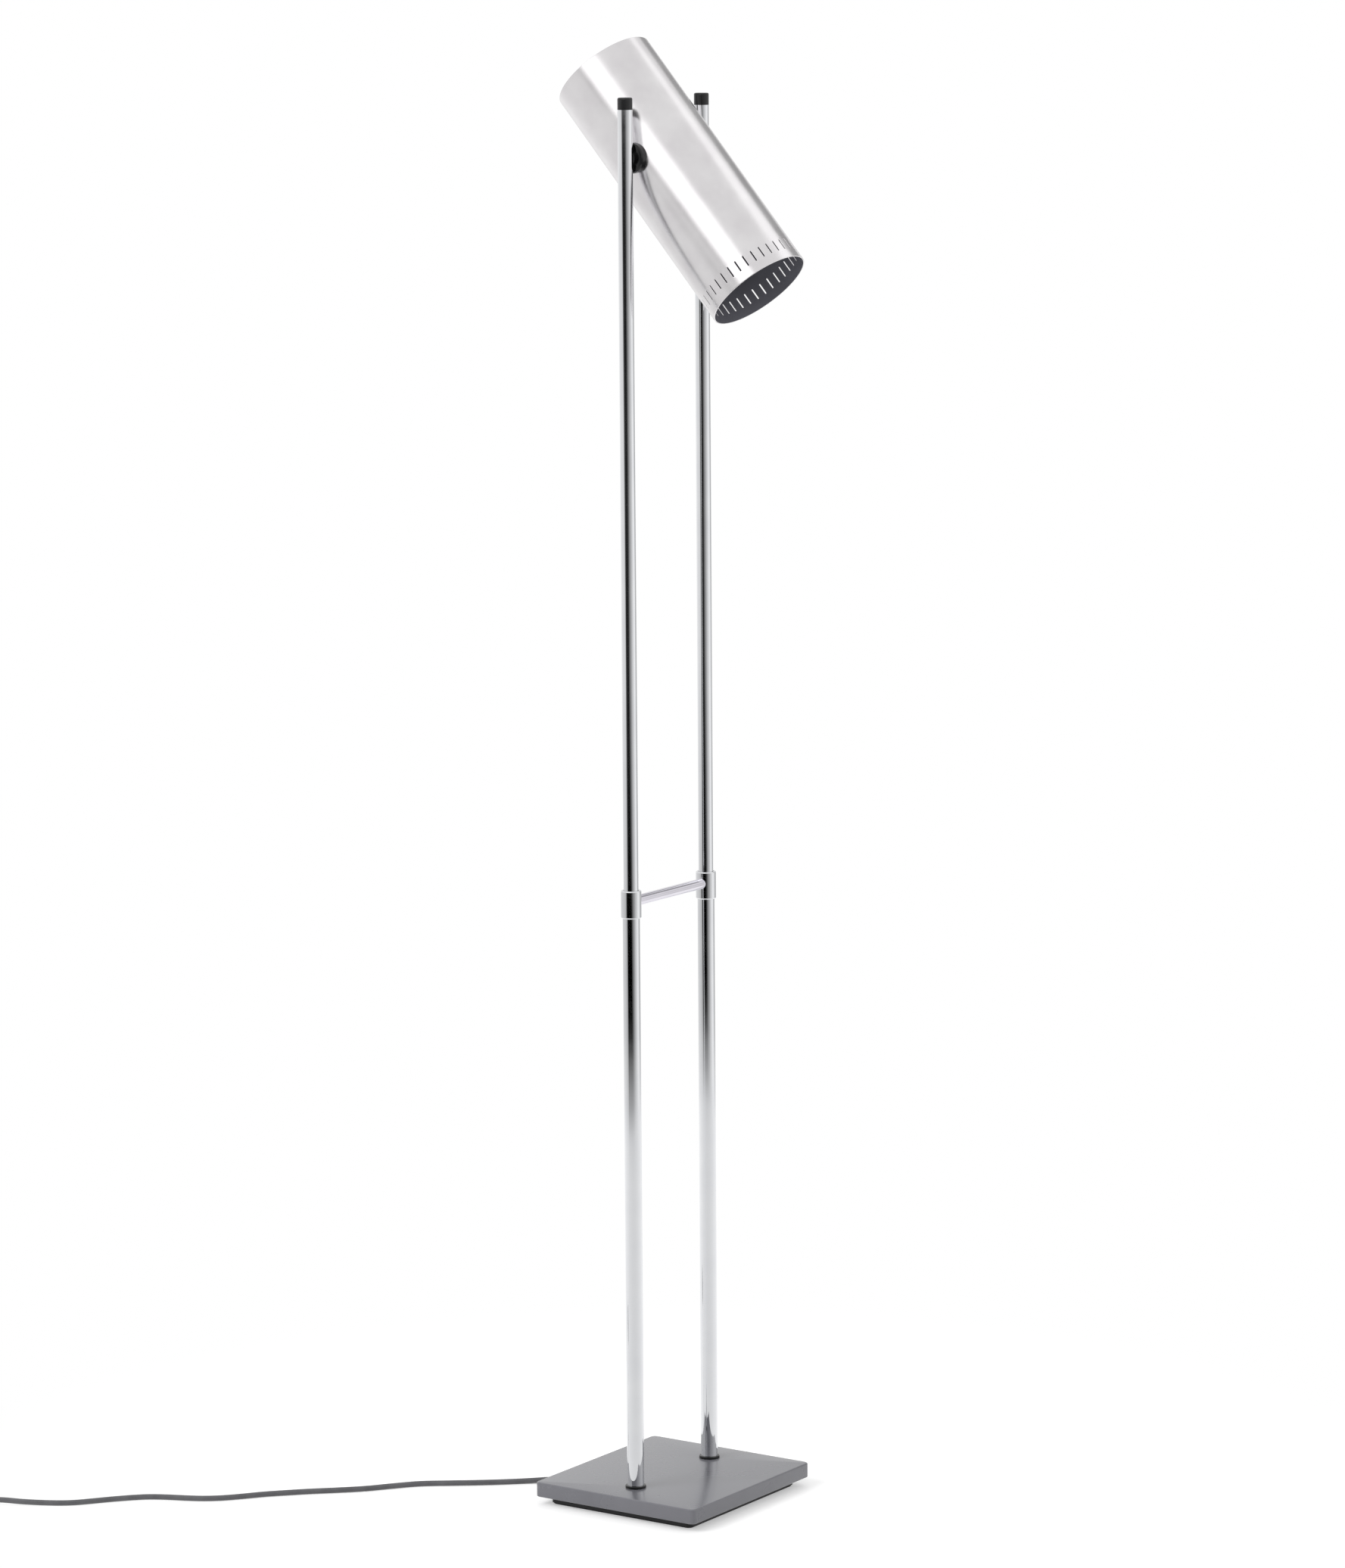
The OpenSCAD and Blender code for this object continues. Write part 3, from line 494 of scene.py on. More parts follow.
@dataclass(frozen=True)
class PlatedMetal:
    """Turned or pressed metal, plated or bare: a satin sheen with fine tool lines and dull clouds."""

    name: str
    dark: str
    light: str
    gloss: Flat
    cloud_mm: float = 3.0
    line_mm: float = 0.25
    line_height_mm: float = 0.003

    def make(self) -> bpy.types.Material:
        """Builds the material."""
        graph = Graph(self.name)
        graph.set(Metallic=1.0)
        cloud = graph.noise(self.cloud_mm, 3)
        graph.tones(cloud, self.dark, self.light)
        graph.rough(cloud, *self.gloss)
        graph.relief((graph.noise(self.line_mm, 1, (0.2, 0.2, 1.0)), self.line_height_mm))
        return graph.material


@dataclass(frozen=True)
class Moulded:
    """Moulded plastic or rubber: the tool's skin, fine or sparked, with slow changes of gloss."""

    name: str
    dark: str
    light: str
    gloss: Flat
    grain_mm: float
    grain_height_mm: float
    subsurface: float = 0.0
    cloud_mm: float = 14.0

    def make(self) -> bpy.types.Material:
        """Builds the material."""
        graph = Graph(self.name)
        graph.set(Subsurface_Weight=self.subsurface, Subsurface_Scale=0.002)
        cloud = graph.noise(self.cloud_mm, 3)
        graph.tones(cloud, self.dark, self.light)
        graph.rough(cloud, *self.gloss)
        graph.relief((graph.noise(self.grain_mm, 2), self.grain_height_mm))
        return graph.material


class Finishes:
    """Every finish of the lamp, built once."""

    def __init__(self) -> None:
        """Builds the materials, mostly by the name of the record's slot that each belongs to."""
        makers = {
            "polished_chrome": Chrome("chrome_plated_buffed_tube"),
            "bar_chrome": Chrome("chrome_plated_buffed_bar", "#F0EDF5", "#EAE7F0", lines=Lines.CROSSWAYS),
            # The shade's wide tube is buffed less, and while turning: its mirror image has soft edges
            "shade_chrome": Chrome("chrome_plated_satin_shade", "#F2F0F1", "#E8E5E7", (0.2, 0.24),
                                   line_height_mm=0.0006, lines=Lines.ROUND),
            # Two-coat grey, slightly blue: the top coat mirrors the posts softly
            "grey_lacquer": Lacquer("grey_stoved_lacquer", "#6E6E74", "#76767C", (0.24, 0.32), 0.5, 0.12),
            # Heat-proof dark grey in the shade: half gloss, so the slots' light smears along it
            "black_lacquer": Lacquer("dark_grey_heatproof_lacquer", "#64646B", "#707078", (0.34, 0.44),
                                     0.15, 0.2),
            "black_paint": PowderCoat(),
            "felt": Felt(),
            # Bright zinc with a thin blue passivation
            "zinc_steel": PlatedMetal("zinc_plated_steel", "#9DA3AB", "#C3C4C2", (0.26, 0.42)),
            # Natural PA6, a little milky
            "nylon": Moulded("natural_moulded_nylon", "#D3CFBF", "#E4E1D4", (0.36, 0.5), 0.8, 0.004, 0.2),
            # ABS from a polished tool: near black, with clear small lights
            "black_plastic": Moulded("black_gloss_moulded_abs", "#0B0B0C", "#121214", (0.12, 0.2),
                                     2.2, 0.0015),
            # Soft PVC: dull, from a sparked tool
            "black_rubber": Moulded("black_soft_moulded_pvc", "#141415", "#1E1E20", (0.5, 0.62),
                                    0.5, 0.012),
            # Extruded sheath of the cord, with the soft waves of the wires laid inside
            "cord_pvc": Moulded("grey_extruded_pvc_sheath", "#58585B", "#666669", (0.36, 0.5), 3.2, 0.03),
            "lead_pvc": Moulded("grey_extruded_pvc_lead", "#58585B", "#626266", (0.36, 0.5), 2.6, 0.02),
            "brass": PlatedMetal("turned_brass", "#A9803A", "#CBA35C", (0.22, 0.36)),
            "nickel_pins": PlatedMetal("nickel_plated_brass", "#B4AFA4", "#D3CFC6", (0.14, 0.26)),
            # Phenolic with wood flour: deep brown black with faint marbling
            "bakelite": Moulded("moulded_phenolic", "#120D0B", "#231A16", (0.16, 0.28), 1.5, 0.002),
            "bulb_metal": PlatedMetal("rolled_aluminium_cap", "#B6B8BA", "#D2D3D4", (0.24, 0.36), 2.0),
            # Glass with an opal film inside: an even milk white under a clear shine
            "opal_glass": Moulded("opal_coated_glass", "#EDEBE4", "#F5F3EE", (0.05, 0.09),
                                  9.0, 0.0005, 0.35),
        }
        self.by_slot = {slot: maker.make() for slot, maker in makers.items()}

    def __getitem__(self, slot: str) -> bpy.types.Material:
        """Finds the material of a slot."""
        return self.by_slot[slot]


# ---------------------------------------------------------------- camera and studio

@dataclass
class PhotoCamera:
    """The long lens that the lamp is seen through, level with its middle and a little above it."""

    azimuth: float = 34.22
    pitch: float = 8.89
    roll: float = -0.39
    distance: float = 5.4385
    aim: Vector = field(default_factory=lambda: Vector((0.0, 0.0, 0.602)))
    aside: float = 0.004
    above: float = 0.07797
    focal_pixels: float = 7718.6
    sensor_mm: float = 36.0

    def build(self) -> None:
        """Adds the camera and makes it the scene's own."""
        turn, dip = math.radians(self.azimuth), math.radians(self.pitch)
        back = Vector((math.sin(turn) * math.cos(dip), -math.cos(turn) * math.cos(dip), math.sin(dip)))
        right = Vector((math.cos(turn), math.sin(turn), 0.0))
        up = back.cross(right)
        eye = self.aim + back * self.distance + right * self.aside + up * self.above
        lean = Matrix.Rotation(math.radians(self.roll), 3, back)
        axes = Matrix((lean @ right, lean @ up, back)).transposed()
        lens = bpy.data.cameras.new("photo_camera")
        lens.sensor_fit = "VERTICAL"
        lens.sensor_height = self.sensor_mm
        lens.lens = self.focal_pixels * self.sensor_mm / PHOTO_PIXELS[1]
        lens.clip_end = 100.0
        camera = bpy.data.objects.new("photo_camera", lens)
        bpy.context.scene.collection.objects.link(camera)
        camera.matrix_world = Matrix.Translation(eye) @ axes.to_4x4()
        bpy.context.scene.camera = camera
        LOG.info("camera stands %.3f m from the lamp", eye.length)


@dataclass(frozen=True)
class Row:
    """One level line of a reflector.

    Each stop is an azimuth in degrees from -Y towards +X and the brightness there. With a share of
    plain, the line is as bright as the floor by that much.
    """

    radius: float
    height: float
    stops: tuple[Flat, ...]
    plain: float = 0.0

    def level(self, azimuth: float) -> float:
        """Finds the brightness of the stops at an azimuth."""
        for (a, low), (b, high) in zip(self.stops, self.stops[1:]):
            if azimuth <= b:
                return low + (high - low) * ease((azimuth - a) / (b - a))
        return self.stops[-1][1]


@dataclass(frozen=True)
class Card:
    """A curved reflector round the lamp, which only glossy surfaces see."""

    name: str
    rows: tuple[Row, ...]


# The room's brightness by azimuth, near the floor and above it: dark to the left of the camera
ROOM = (
    (-146.0, 0.80), (-112.0, 0.76), (-70.0, 0.66), (-50.0, 0.60), (-25.0, 0.44), (-14.0, 0.0),
    (35.0, 0.0), (46.0, 0.08), (68.0, 0.34), (92.0, 0.62), (116.0, 0.90), (140.0, 0.86),
    (151.0, 0.50), (174.0, 0.52), (190.0, 0.80), (214.0, 0.80))
UPPER_ROOM = (
    (-146.0, 0.80), (-112.0, 0.92), (-92.0, 0.86), (-70.0, 0.78), (-40.0, 0.76), (-25.0, 0.62),
    (-10.0, 0.03), (23.0, 0.01), (35.0, 0.10), (58.0, 0.36), (85.0, 0.62), (116.0, 0.92),
    (140.0, 0.87), (151.0, 0.50), (174.0, 0.52), (190.0, 0.80), (214.0, 0.80))


def even(first: float, last: float, level: float) -> tuple[Flat, Flat]:
    """Makes the stops of a line that is as bright all along, between two azimuths."""
    return (first, level), (last, level)


@dataclass
class Studio:
    """White room with soft light: the floor, the sky, the lamps and what the chrome mirrors."""

    card_radius: float = 2.2
    card_step: float = 3.0
    floor_half: float = 30.0
    floor_colour: str = "#E8E8E8"
    # Brightness of the mirrored floor on the side of the azimuth in degrees, and on the other side
    floor_mirror: Flat = (0.73, 1.0)
    floor_front: float = 34.2
    floor_lift: float = 0.36
    lit_to: float = 0.30
    white_from: float = 0.75
    sky_plain: float = 0.62
    sky_mirror: float = 0.79
    lamp_size: float = 2.4

    def cards(self) -> tuple[Card, ...]:
        """Lists the reflectors."""
        wall, ground = self.card_radius, 0.002
        return (
            Card("room_card", (
                Row(1.45, ground, ROOM, 1.0), Row(1.67, ground, ROOM, 0.94),
                Row(1.86, ground, ROOM, 0.54), Row(2.12, ground, ROOM, 0.22),
                Row(wall, ground, ROOM, 0.08), Row(wall, 0.05, ROOM), Row(wall, 0.18, ROOM),
                Row(wall, 0.50, UPPER_ROOM), Row(wall, 1.22, UPPER_ROOM),
                Row(wall, 1.27, UPPER_ROOM, 1.0))),
            Card("horizon_card", (
                Row(wall, 1.50, even(-50, 0, 0.46), 1.0), Row(wall, 1.53, even(-50, 0, 0.46)),
                Row(wall, 1.72, even(-50, 0, 0.46)))),
            Card("softbox_card", (
                Row(wall, 1.79, even(-30, 25, 1.5)), Row(wall, 3.00, even(-30, 25, 1.5)))),
            Card("rim_card", (
                Row(wall, 2.40, even(110, 163, 0.80)), Row(wall, 2.90, even(110, 163, 1.12)),
                Row(wall, 4.00, even(110, 163, 1.12)))),
            Card("back_card", (
                Row(wall, 1.70, even(156, 200, 0.36)), Row(wall, 2.60, even(156, 200, 0.36)))),
        )

    def floor_level(self, azimuth: float) -> float:
        """Finds the brightness of the mirrored floor at an azimuth."""
        front, rear = self.floor_mirror
        return (front + rear) / 2 + (front - rear) / 2 * math.cos(math.radians(azimuth - self.floor_front))

    def build(self) -> None:
        """Builds the whole studio."""
        scene = bpy.context.scene
        scene.view_settings.view_transform = "Standard"
        self.build_sky(scene)
        self.build_floor()
        for card in self.cards():
            self.build_card(card)
        self.build_lamp("key_lamp", Vector((-1.6, -3.2, 3.0)), 90.0)
        self.build_lamp("fill_lamp", Vector((3.4, 0.4, 2.6)), 18.0)
        self.build_lamp("back_lamp", Vector((-1.4, 3.2, 3.0)), 26.0)

    def build_sky(self, scene: bpy.types.Scene) -> None:
        """Makes the sky: white to the camera and through glass, plainer on surfaces and in mirrors."""
        world = bpy.data.worlds.new("studio")
        scene.world = world
        world.use_nodes = True
        tree = world.node_tree
        sky = tree.nodes["Background"]
        sky.inputs["Color"].default_value = (1.0, 1.0, 1.0, 1.0)
        path = tree.nodes.new("ShaderNodeLightPath")
        level = None
        for ray, value in (("Is Glossy Ray", self.sky_mirror), ("Is Transmission Ray", 1.0),
                           ("Is Camera Ray", 1.0)):
            mix = tree.nodes.new("ShaderNodeMix")
            mix.inputs["A"].default_value = self.sky_plain
            mix.inputs["B"].default_value = value
            tree.links.new(path.outputs[ray], mix.inputs["Factor"])
            if level:
                tree.links.new(level, mix.inputs["A"])
            level = mix.outputs["Result"]
        tree.links.new(level, sky.inputs["Strength"])

    def build_floor(self) -> None:
        """Makes the floor: white paper that keeps the lamp's shadow."""
        graph = Graph("white_studio_paper")
        graph.set(Base_Color=linear(self.floor_colour), Roughness=1.0, Specular_IOR_Level=0.0)
        path = graph.add("ShaderNodeLightPath")
        lift = graph.add("ShaderNodeMath", {"operation": "MULTIPLY", 1: self.floor_lift},
                         {0: path.outputs["Is Camera Ray"]})
        graph.shader.inputs["Emission Color"].default_value = (1.0, 1.0, 1.0, 1.0)
        graph.tree.links.new(lift.outputs[0], graph.shader.inputs["Emission Strength"])
        reach = graph.add("ShaderNodeVectorMath", {"operation": "LENGTH"}, {0: graph.place})
        fade = graph.add("ShaderNodeMapRange",
                         {"interpolation_type": "SMOOTHSTEP", "From Min": self.lit_to,
                          "From Max": self.white_from}, {"Value": reach.outputs["Value"]})
        white = graph.add("ShaderNodeEmission", {"Strength": 1.0})
        paper = graph.add("ShaderNodeMixShader", {},
                          {0: fade.outputs[0], 1: graph.shader.outputs[0], 2: white.outputs[0]})
        towards = math.radians(self.floor_front)
        way = graph.add("ShaderNodeVectorMath", {"operation": "NORMALIZE"}, {0: graph.place})
        side = graph.add("ShaderNodeVectorMath",
                         {"operation": "DOT_PRODUCT", 1: (math.sin(towards), -math.cos(towards), 0.0)},
                         {0: way.outputs["Vector"]})
        level = graph.add("ShaderNodeMapRange",
                          {"From Min": 1.0, "From Max": -1.0, "To Min": self.floor_mirror[0],
                           "To Max": self.floor_mirror[1]}, {"Value": side.outputs["Value"]})
        mirrored = graph.add("ShaderNodeEmission", {}, {"Strength": level.outputs[0]})
        surface = graph.add("ShaderNodeMixShader", {},
                            {0: path.outputs["Is Glossy Ray"], 1: paper.outputs[0], 2: mirrored.outputs[0]})
        graph.tree.links.new(surface.outputs[0], graph.tree.nodes["Material Output"].inputs["Surface"])
        bm = bmesh.new()
        bmesh.ops.create_grid(bm, x_segments=1, y_segments=1, size=self.floor_half)
        floor = make_object("studio_floor", bm, graph.material)

    def build_card(self, card: Card) -> None:
        """Makes a reflector, whose brightness runs smoothly between its stops."""
        graph = Graph(f"{card.name}_light")
        level = graph.add("ShaderNodeAttribute", {"attribute_name": "level"})
        light = graph.add("ShaderNodeEmission", {}, {"Strength": level.outputs["Fac"]})
        graph.tree.links.new(light.outputs[0], graph.tree.nodes["Material Output"].inputs["Surface"])
        bm = bmesh.new()
        layer = bm.verts.layers.float.new("level")
        first, last = card.rows[0].stops[0][0], card.rows[0].stops[-1][0]
        steps = round((last - first) / self.card_step)
        columns = []
        for k in range(steps + 1):
            azimuth = first + (last - first) * k / steps
            angle = math.radians(azimuth)
            column = []
            for row in card.rows:
                vert = bm.verts.new((row.radius * math.sin(angle), -row.radius * math.cos(angle),
                                     row.height))
                vert[layer] = (row.level(azimuth) * (1 - row.plain)
                               + self.floor_level(azimuth) * row.plain)
                column.append(vert)
            columns.append(column)
        for left, right in zip(columns, columns[1:]):
            for row in range(len(card.rows) - 1):
                bm.faces.new((left[row], right[row], right[row + 1], left[row + 1]))
        panel = make_object(card.name, bm, graph.material)
        panel.visible_camera = False
        panel.visible_diffuse = False
        panel.visible_transmission = False
        panel.visible_shadow = False

    def build_lamp(self, name: str, place_at: Vector, power: float) -> None:
        """Adds a square soft lamp that looks at the middle of the object."""
        light = bpy.data.lights.new(name, "AREA")
        light.shape = "SQUARE"
        light.size = self.lamp_size
        light.energy = power
        lamp = bpy.data.objects.new(name, light)
        bpy.context.scene.collection.objects.link(lamp)
        lamp.location = place_at
        middle = Vector((0.0, 0.0, 0.6))
        lamp.rotation_euler = (middle - place_at).to_track_quat("-Z", "Y").to_euler()
        lamp.visible_glossy = False


# ---------------------------------------------------------------- cord

@dataclass(frozen=True)
class Plug:
    """The moulded plug along +X: a ribbed tapering tail, then a body that swells to its face."""

    # Radius of the tail where the cord goes in
    throat: float
    relief_len: float = 0.024
    relief_taper: float = 0.0011
    relief_steps: int = 96
    rib_step: float = 0.0046
    rib_height: float = 0.0005
    ribs_to: float = 4.5
    grip_len: float = 0.034
    grip_steps: int = 72
    roundness: float = 0.8
    # Height and width of the neck, and what they gain over the swell
    neck: Flat = (0.011, 0.015)
    swell: Flat = (0.0024, 0.0045)
    swell_len: float = 0.013
    # What the width gains over the whole body
    spread: float = 0.0065
    # Finger ridges, from and to a distance from the neck
    ridges: Flat = (0.009, 0.028)
    ridge_fade: float = 0.003
    ridge_step: float = 0.00271
    ridge_depth: float = 0.00035
    corner_steps: int = 8

    def build(self, finishes: Finishes, start: Vector) -> bpy.types.Object:
        """Builds the plug's body.

        Args:
            finishes: The lamp's finishes.
            start: Middle of the tail's end, where the cord goes in.

        Returns:
            The plug's body.
        """
        bm = bmesh.new()
        rings = []
        for along, tall, wide, roundness in self.outlines():
            corner = roundness * min(tall, wide) / 2
            # A hair larger than its corners, so that no two points of an outline meet
            outline = round_rect(tall + 1e-5, wide + 1e-5, corner, self.corner_steps)
            rings.append([bm.verts.new((start.x + along, start.y + y, start.z - z)) for z, y in outline])
        skin(bm, rings)
        bm.faces.new(rings[0])
        bm.faces.new(rings[-1])
        plug = make_object("moulded_plug", bm, finishes["black_rubber"], 40.0)
        return place(plug, Body.STAND, "black_plastic", "plug_body")

    def outlines(self) -> list[tuple[float, float, float, float]]:
        """Lists the outlines along the plug.

        Returns:
            Of each its distance from the tail's end, its height and width, and how round it is.
        """
        outlines = []
        for k in range(self.relief_steps):
            along = self.relief_len * k / self.relief_steps
            across = 2 * self.relief_radius(along)
            outlines.append((along, across, across, 1.0))
        shoulder = ((0.0, 0.88, 0.92), (0.0003, 0.95, 0.97), (0.0009, 0.99, 1.0), (0.0016, 1.0, 1.0))
        for along, tall, wide in shoulder:
            outlines.append((self.relief_len + along, self.neck[0] * tall, self.neck[1] * wide,
                             self.roundness))
        for k in range(1, self.grip_steps + 1):
            along = 0.002 + (self.grip_len - 0.0028) * k / self.grip_steps
            outlines.append((self.relief_len + along, *self.grip_size(along), self.roundness))
        tall, wide = self.grip_size(self.grip_len)
        for before, inset in ((0.0004, 0.0002), (0.0001, 0.0006), (0.0, 0.0012)):
            outlines.append((self.relief_len + self.grip_len - before, tall - 2 * inset,
                             wide - 2 * inset, self.roundness))
        return outlines

    def relief_radius(self, along: float) -> float:
        """Finds the radius of the tail, with its ribs, at a distance from its end."""
        taper = self.throat + self.relief_taper * along / self.relief_len
        rib = max(1 - abs(2 * ((along / self.rib_step) % 1) - 1) * 2.2, -0.6)
        on_ribs = self.rib_step / 2 < along < self.ribs_to * self.rib_step
        return taper + (self.rib_height * ease((rib + 0.6) / 0.9) if on_ribs else 0.0)

    def grip_size(self, along: float) -> Flat:
        """Finds the body's height and width, with its ridges, at a distance from its neck."""
        swell, spread = ease(along / self.swell_len), ease(along / self.grip_len)
        first, last = self.ridges
        ridged = ease((min(along - first, last - along)) / self.ridge_fade)
        wave = 1 - math.cos(2 * math.pi * (along - first) / self.ridge_step)
        groove = self.ridge_depth * ridged * wave
        return (self.neck[0] + self.swell[0] * swell - groove,
                self.neck[1] + self.swell[1] * swell + self.spread * spread - groove)


@dataclass
class PowerCord:
    """The free cord: from the gland over the floor, through the switch, to its coil and the plug."""

    diameter: float = 0.0052
    length: float = 2.0
    exit: Point = (-0.0795, -0.032, 0.00475)
    # Points that the cord follows on the floor, from the gland's tip to the switch
    route: tuple[Point, ...] = (
        (-0.1055, -0.032, 0.00475), (-0.113, -0.032, 0.0045), (-0.121, -0.033, 0.0039),
        (-0.130, -0.038, 0.0031), (-0.140, -0.046, 0.0027), (-0.155, -0.059, 0.0026),
        (-0.175, -0.075, 0.0026), (-0.197, -0.091, 0.0026), (-0.218, -0.107, 0.0026),
        (-0.235, -0.127, 0.0026), (-0.251, -0.148, 0.0026), (-0.270, -0.167, 0.0026),
        (-0.289, -0.184, 0.0026), (-0.305, -0.200, 0.0026), (-0.321, -0.217, 0.0026),
        (-0.334, -0.234, 0.0026), (-0.347, -0.249, 0.0026), (-0.361, -0.260, 0.0026),
        (-0.377, -0.268, 0.0026), (-0.393, -0.275, 0.0026), (-0.407, -0.283, 0.0026),
        (-0.417, -0.292, 0.0026), (-0.426, -0.302, 0.0026), (-0.435, -0.313, 0.0026),
        (-0.444, -0.325, 0.0026), (-0.453, -0.336, 0.0026), (-0.464, -0.345, 0.0026),
        (-0.479, -0.354, 0.0028), (-0.495, -0.3635, 0.0036), (-0.511, -0.3728, 0.005),
        (-0.5322, -0.385, 0.0055))
    heading: float = 210.0
    switch_len: float = 0.080
    link_len: float = 0.020
    coil_radius: float = 0.040
    coil_pitch: float = 0.0058
    coil_rounds: int = 6
    coil_low: float = 0.0034
    layer_step: float = 0.0058
    tail_len: float = 0.020
    plug_axis: float = 0.0069
    in_plug: float = 0.014
    route_steps: int = 5
    turn_steps: int = 36

    def in_switch(self, inlet: Vector, ahead: Vector) -> tuple[list[Vector], list[float]]:
        """Leads the cord through the switch, where only its wires pass under the rocker.

        Args:
            inlet: Point where the cord goes in.
            ahead: Direction of the switch.

        Returns:
            The points, and the share of the full radius at each.
        """
        wires, dip, strip, steps = 0.4, 0.0019, 0.014, 20
        points, sizes = [], []
        for k in range(1, steps + 1):
            along = self.switch_len * k / steps
            inside = ease((min(along, self.switch_len - along) - strip / 2) / strip)
            points.append(inlet + ahead * along - Vector((0, 0, dip * inside)))
            sizes.append(1 - (1 - wires) * inside)
        return points, sizes

    def coil(self, start: Vector, ahead: Vector) -> list[Vector]:
        """Winds the spare length: turns in at the bottom, a climb, and turns out on top.

        Args:
            start: Point where the cord comes in.
            ahead: Direction in which it comes in.

        Returns:
            The points of the coil.
        """
        turns = self.coil_rounds + self.heading / 360
        half = turns / 2
        middle = start + self.coil_radius * Vector((ahead.y, -ahead.x, 0.0))
        steps = round(turns * self.turn_steps)
        points = []
        for k in range(steps + 1):
            turn = turns * k / steps
            angle = math.radians(self.heading + 90 - 360 * turn)
            radius = self.coil_radius - self.coil_pitch * half * (1 - abs(1 - turn / half))
            height = self.layer_step * ease((turn - half) * 2 + 0.5)
            points.append(middle + Vector((radius * math.cos(angle), radius * math.sin(angle), height)))
        return points

    def stepped(self, start: Vector, end: Vector, steps: int = 8) -> list[Vector]:
        """Runs straight in plan from start, which is left out, to end, easing between their heights."""
        points = []
        for k in range(1, steps + 1):
            point = start.lerp(end, k / steps)
            point.z = start.z + (end.z - start.z) * ease(k / steps)
            points.append(point)
        return points

    def build(self, finishes: Finishes) -> None:
        turn = math.radians(self.heading)
        ahead = Vector((math.cos(turn), math.sin(turn), 0.0))
        floor_run = smooth_line([Vector(p) for p in self.route], self.route_steps)
        line = [Vector(self.exit), *floor_run]
        sizes = [1.0] * len(line)
        inside, inside_sizes = self.in_switch(line[-1], ahead)
        line += inside
        sizes += inside_sizes
        link_end = line[-1] + ahead * (self.link_len - self.diameter)
        link_end.z = self.coil_low
        line += self.stepped(line[-1], link_end)
        line += self.coil(link_end + ahead * self.diameter, ahead)
        line.append(line[-1] + Vector((self.diameter, 0.0, 0.0)))
        tail_end = line[-1] + Vector((self.tail_len, 0.0, 0.0))
        tail_end.z = self.plug_axis
        line += self.stepped(line[-1], tail_end)
        line.append(tail_end + Vector((self.in_plug, 0.0, 0.0)))
        sizes += [1.0] * (len(line) - len(sizes))
        LOG.info("cord is %.3f m long", line_length(line))
        sheath = make_curve("power_cord", line, self.diameter / 2, finishes["cord_pvc"], sizes)
        place(sheath, Body.STAND, "cord_pvc", "cord", "cord_link", "cord_coil", "cord_tail")
        plug = Plug(self.diameter / 2 + 0.0003).build(finishes, tail_end)
        dress(finishes["nickel_pins"], "plug_pins")
        dress(finishes["black_rubber"], "cord_tie", "cable_gland")
        dress(finishes["black_plastic"], "switch_base", "switch_cover", "switch_rocker")
        dress(finishes["zinc_steel"], "switch_screws")


# ---------------------------------------------------------------- foot

@dataclass
class Foot:
    """The heavy base: lacquered plate, inset slab, felt pad and their screws."""

    corner: float = 0.005
    edge: float = 0.0015
    under_edge: float = 0.0008
    stud_hole: float = 0.0052
    pocket_radius: float = 0.011
    pocket_depth: float = 0.008
    corner_steps: int = 8
    edge_steps: int = 5
    hole_steps: int = 48

    def build(self, finishes: Finishes) -> None:
        """Builds and dresses the foot."""
        self.build_plate(finishes["grey_lacquer"])
        self.build_pad(finishes["felt"])
        dress(finishes["black_paint"], "base_plinth")
        dress(finishes["zinc_steel"], "plinth_screws", "tube_studs", "tube_nuts")
        dress(finishes["black_plastic"], "foot_washers")

    def build_plate(self, finish: bpy.types.Material) -> None:
        """Builds the plate with truly round edges, and its holes and pockets for the posts' studs."""
        low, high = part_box("base_plate")
        width, depth = high.x - low.x, high.y - low.y
        post_y = (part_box("rear_tube")[0].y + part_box("rear_tube")[1].y) / 2
        under = arc(self.under_edge, low.z + self.under_edge, self.under_edge, 270, 180, self.edge_steps)
        over = arc(self.edge, high.z - self.edge, self.edge, 180, 90, self.edge_steps)
        bm = bmesh.new()
        rings = self.walls(bm, width, depth, under + over)
        bottom_holes, top_holes = [], []
        for side in (-1, 1):
            hole = arc(0, side * post_y, self.stud_hole, 0, 360, self.hole_steps)[:-1]
            pocket = arc(0, side * post_y, self.pocket_radius, 0, 360, self.hole_steps)[:-1]
            bore = [add_ring(bm, pocket, low.z), add_ring(bm, pocket, low.z + self.pocket_depth),
                    add_ring(bm, hole, low.z + self.pocket_depth), add_ring(bm, hole, high.z)]
            skin(bm, bore)
            bottom_holes.append(bore[0])
            top_holes.append(bore[-1])
        fill_between(bm, [rings[0], *bottom_holes])
        fill_between(bm, [rings[-1], *top_holes])
        place(make_object("lacquered_base_plate", bm, finish), Body.STAND, "grey_lacquer", "base_plate")

    def walls(self, bm: bmesh.types.BMesh, width: float, depth: float,
              profile: Sequence[Flat]) -> list[Ring]:
        """Builds the walls of a slab with round corners.

        Args:
            bm: The mesh.
            width: Size of the slab along X.
            depth: Size of the slab along Y.
            profile: The wall's inset and level at each ring, from below.

        Returns:
            The rings.
        """
        rings = []
        for inset, z in profile:
            outline = round_rect(width - 2 * inset, depth - 2 * inset, self.corner, self.corner_steps)
            rings.append(add_ring(bm, outline, z))
        skin(bm, rings)
        return rings

    def build_pad(self, finish: bpy.types.Material) -> None:
        """Builds the felt pad, its cut edge a little soft."""
        low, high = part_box("base_pad")
        soft = 0.0005
        profile = [(soft, low.z), (0.0, low.z + soft), (0.0, high.z - soft / 2), (soft / 2, high.z)]
        bm = bmesh.new()
        rings = self.walls(bm, high.x - low.x, high.y - low.y, profile)
        fill_between(bm, [rings[0]])
        fill_between(bm, [rings[-1]])
        place(make_object("felt_pad", bm, finish, 60.0), Body.STAND, "felt", "base_pad")


# ---------------------------------------------------------------- posts

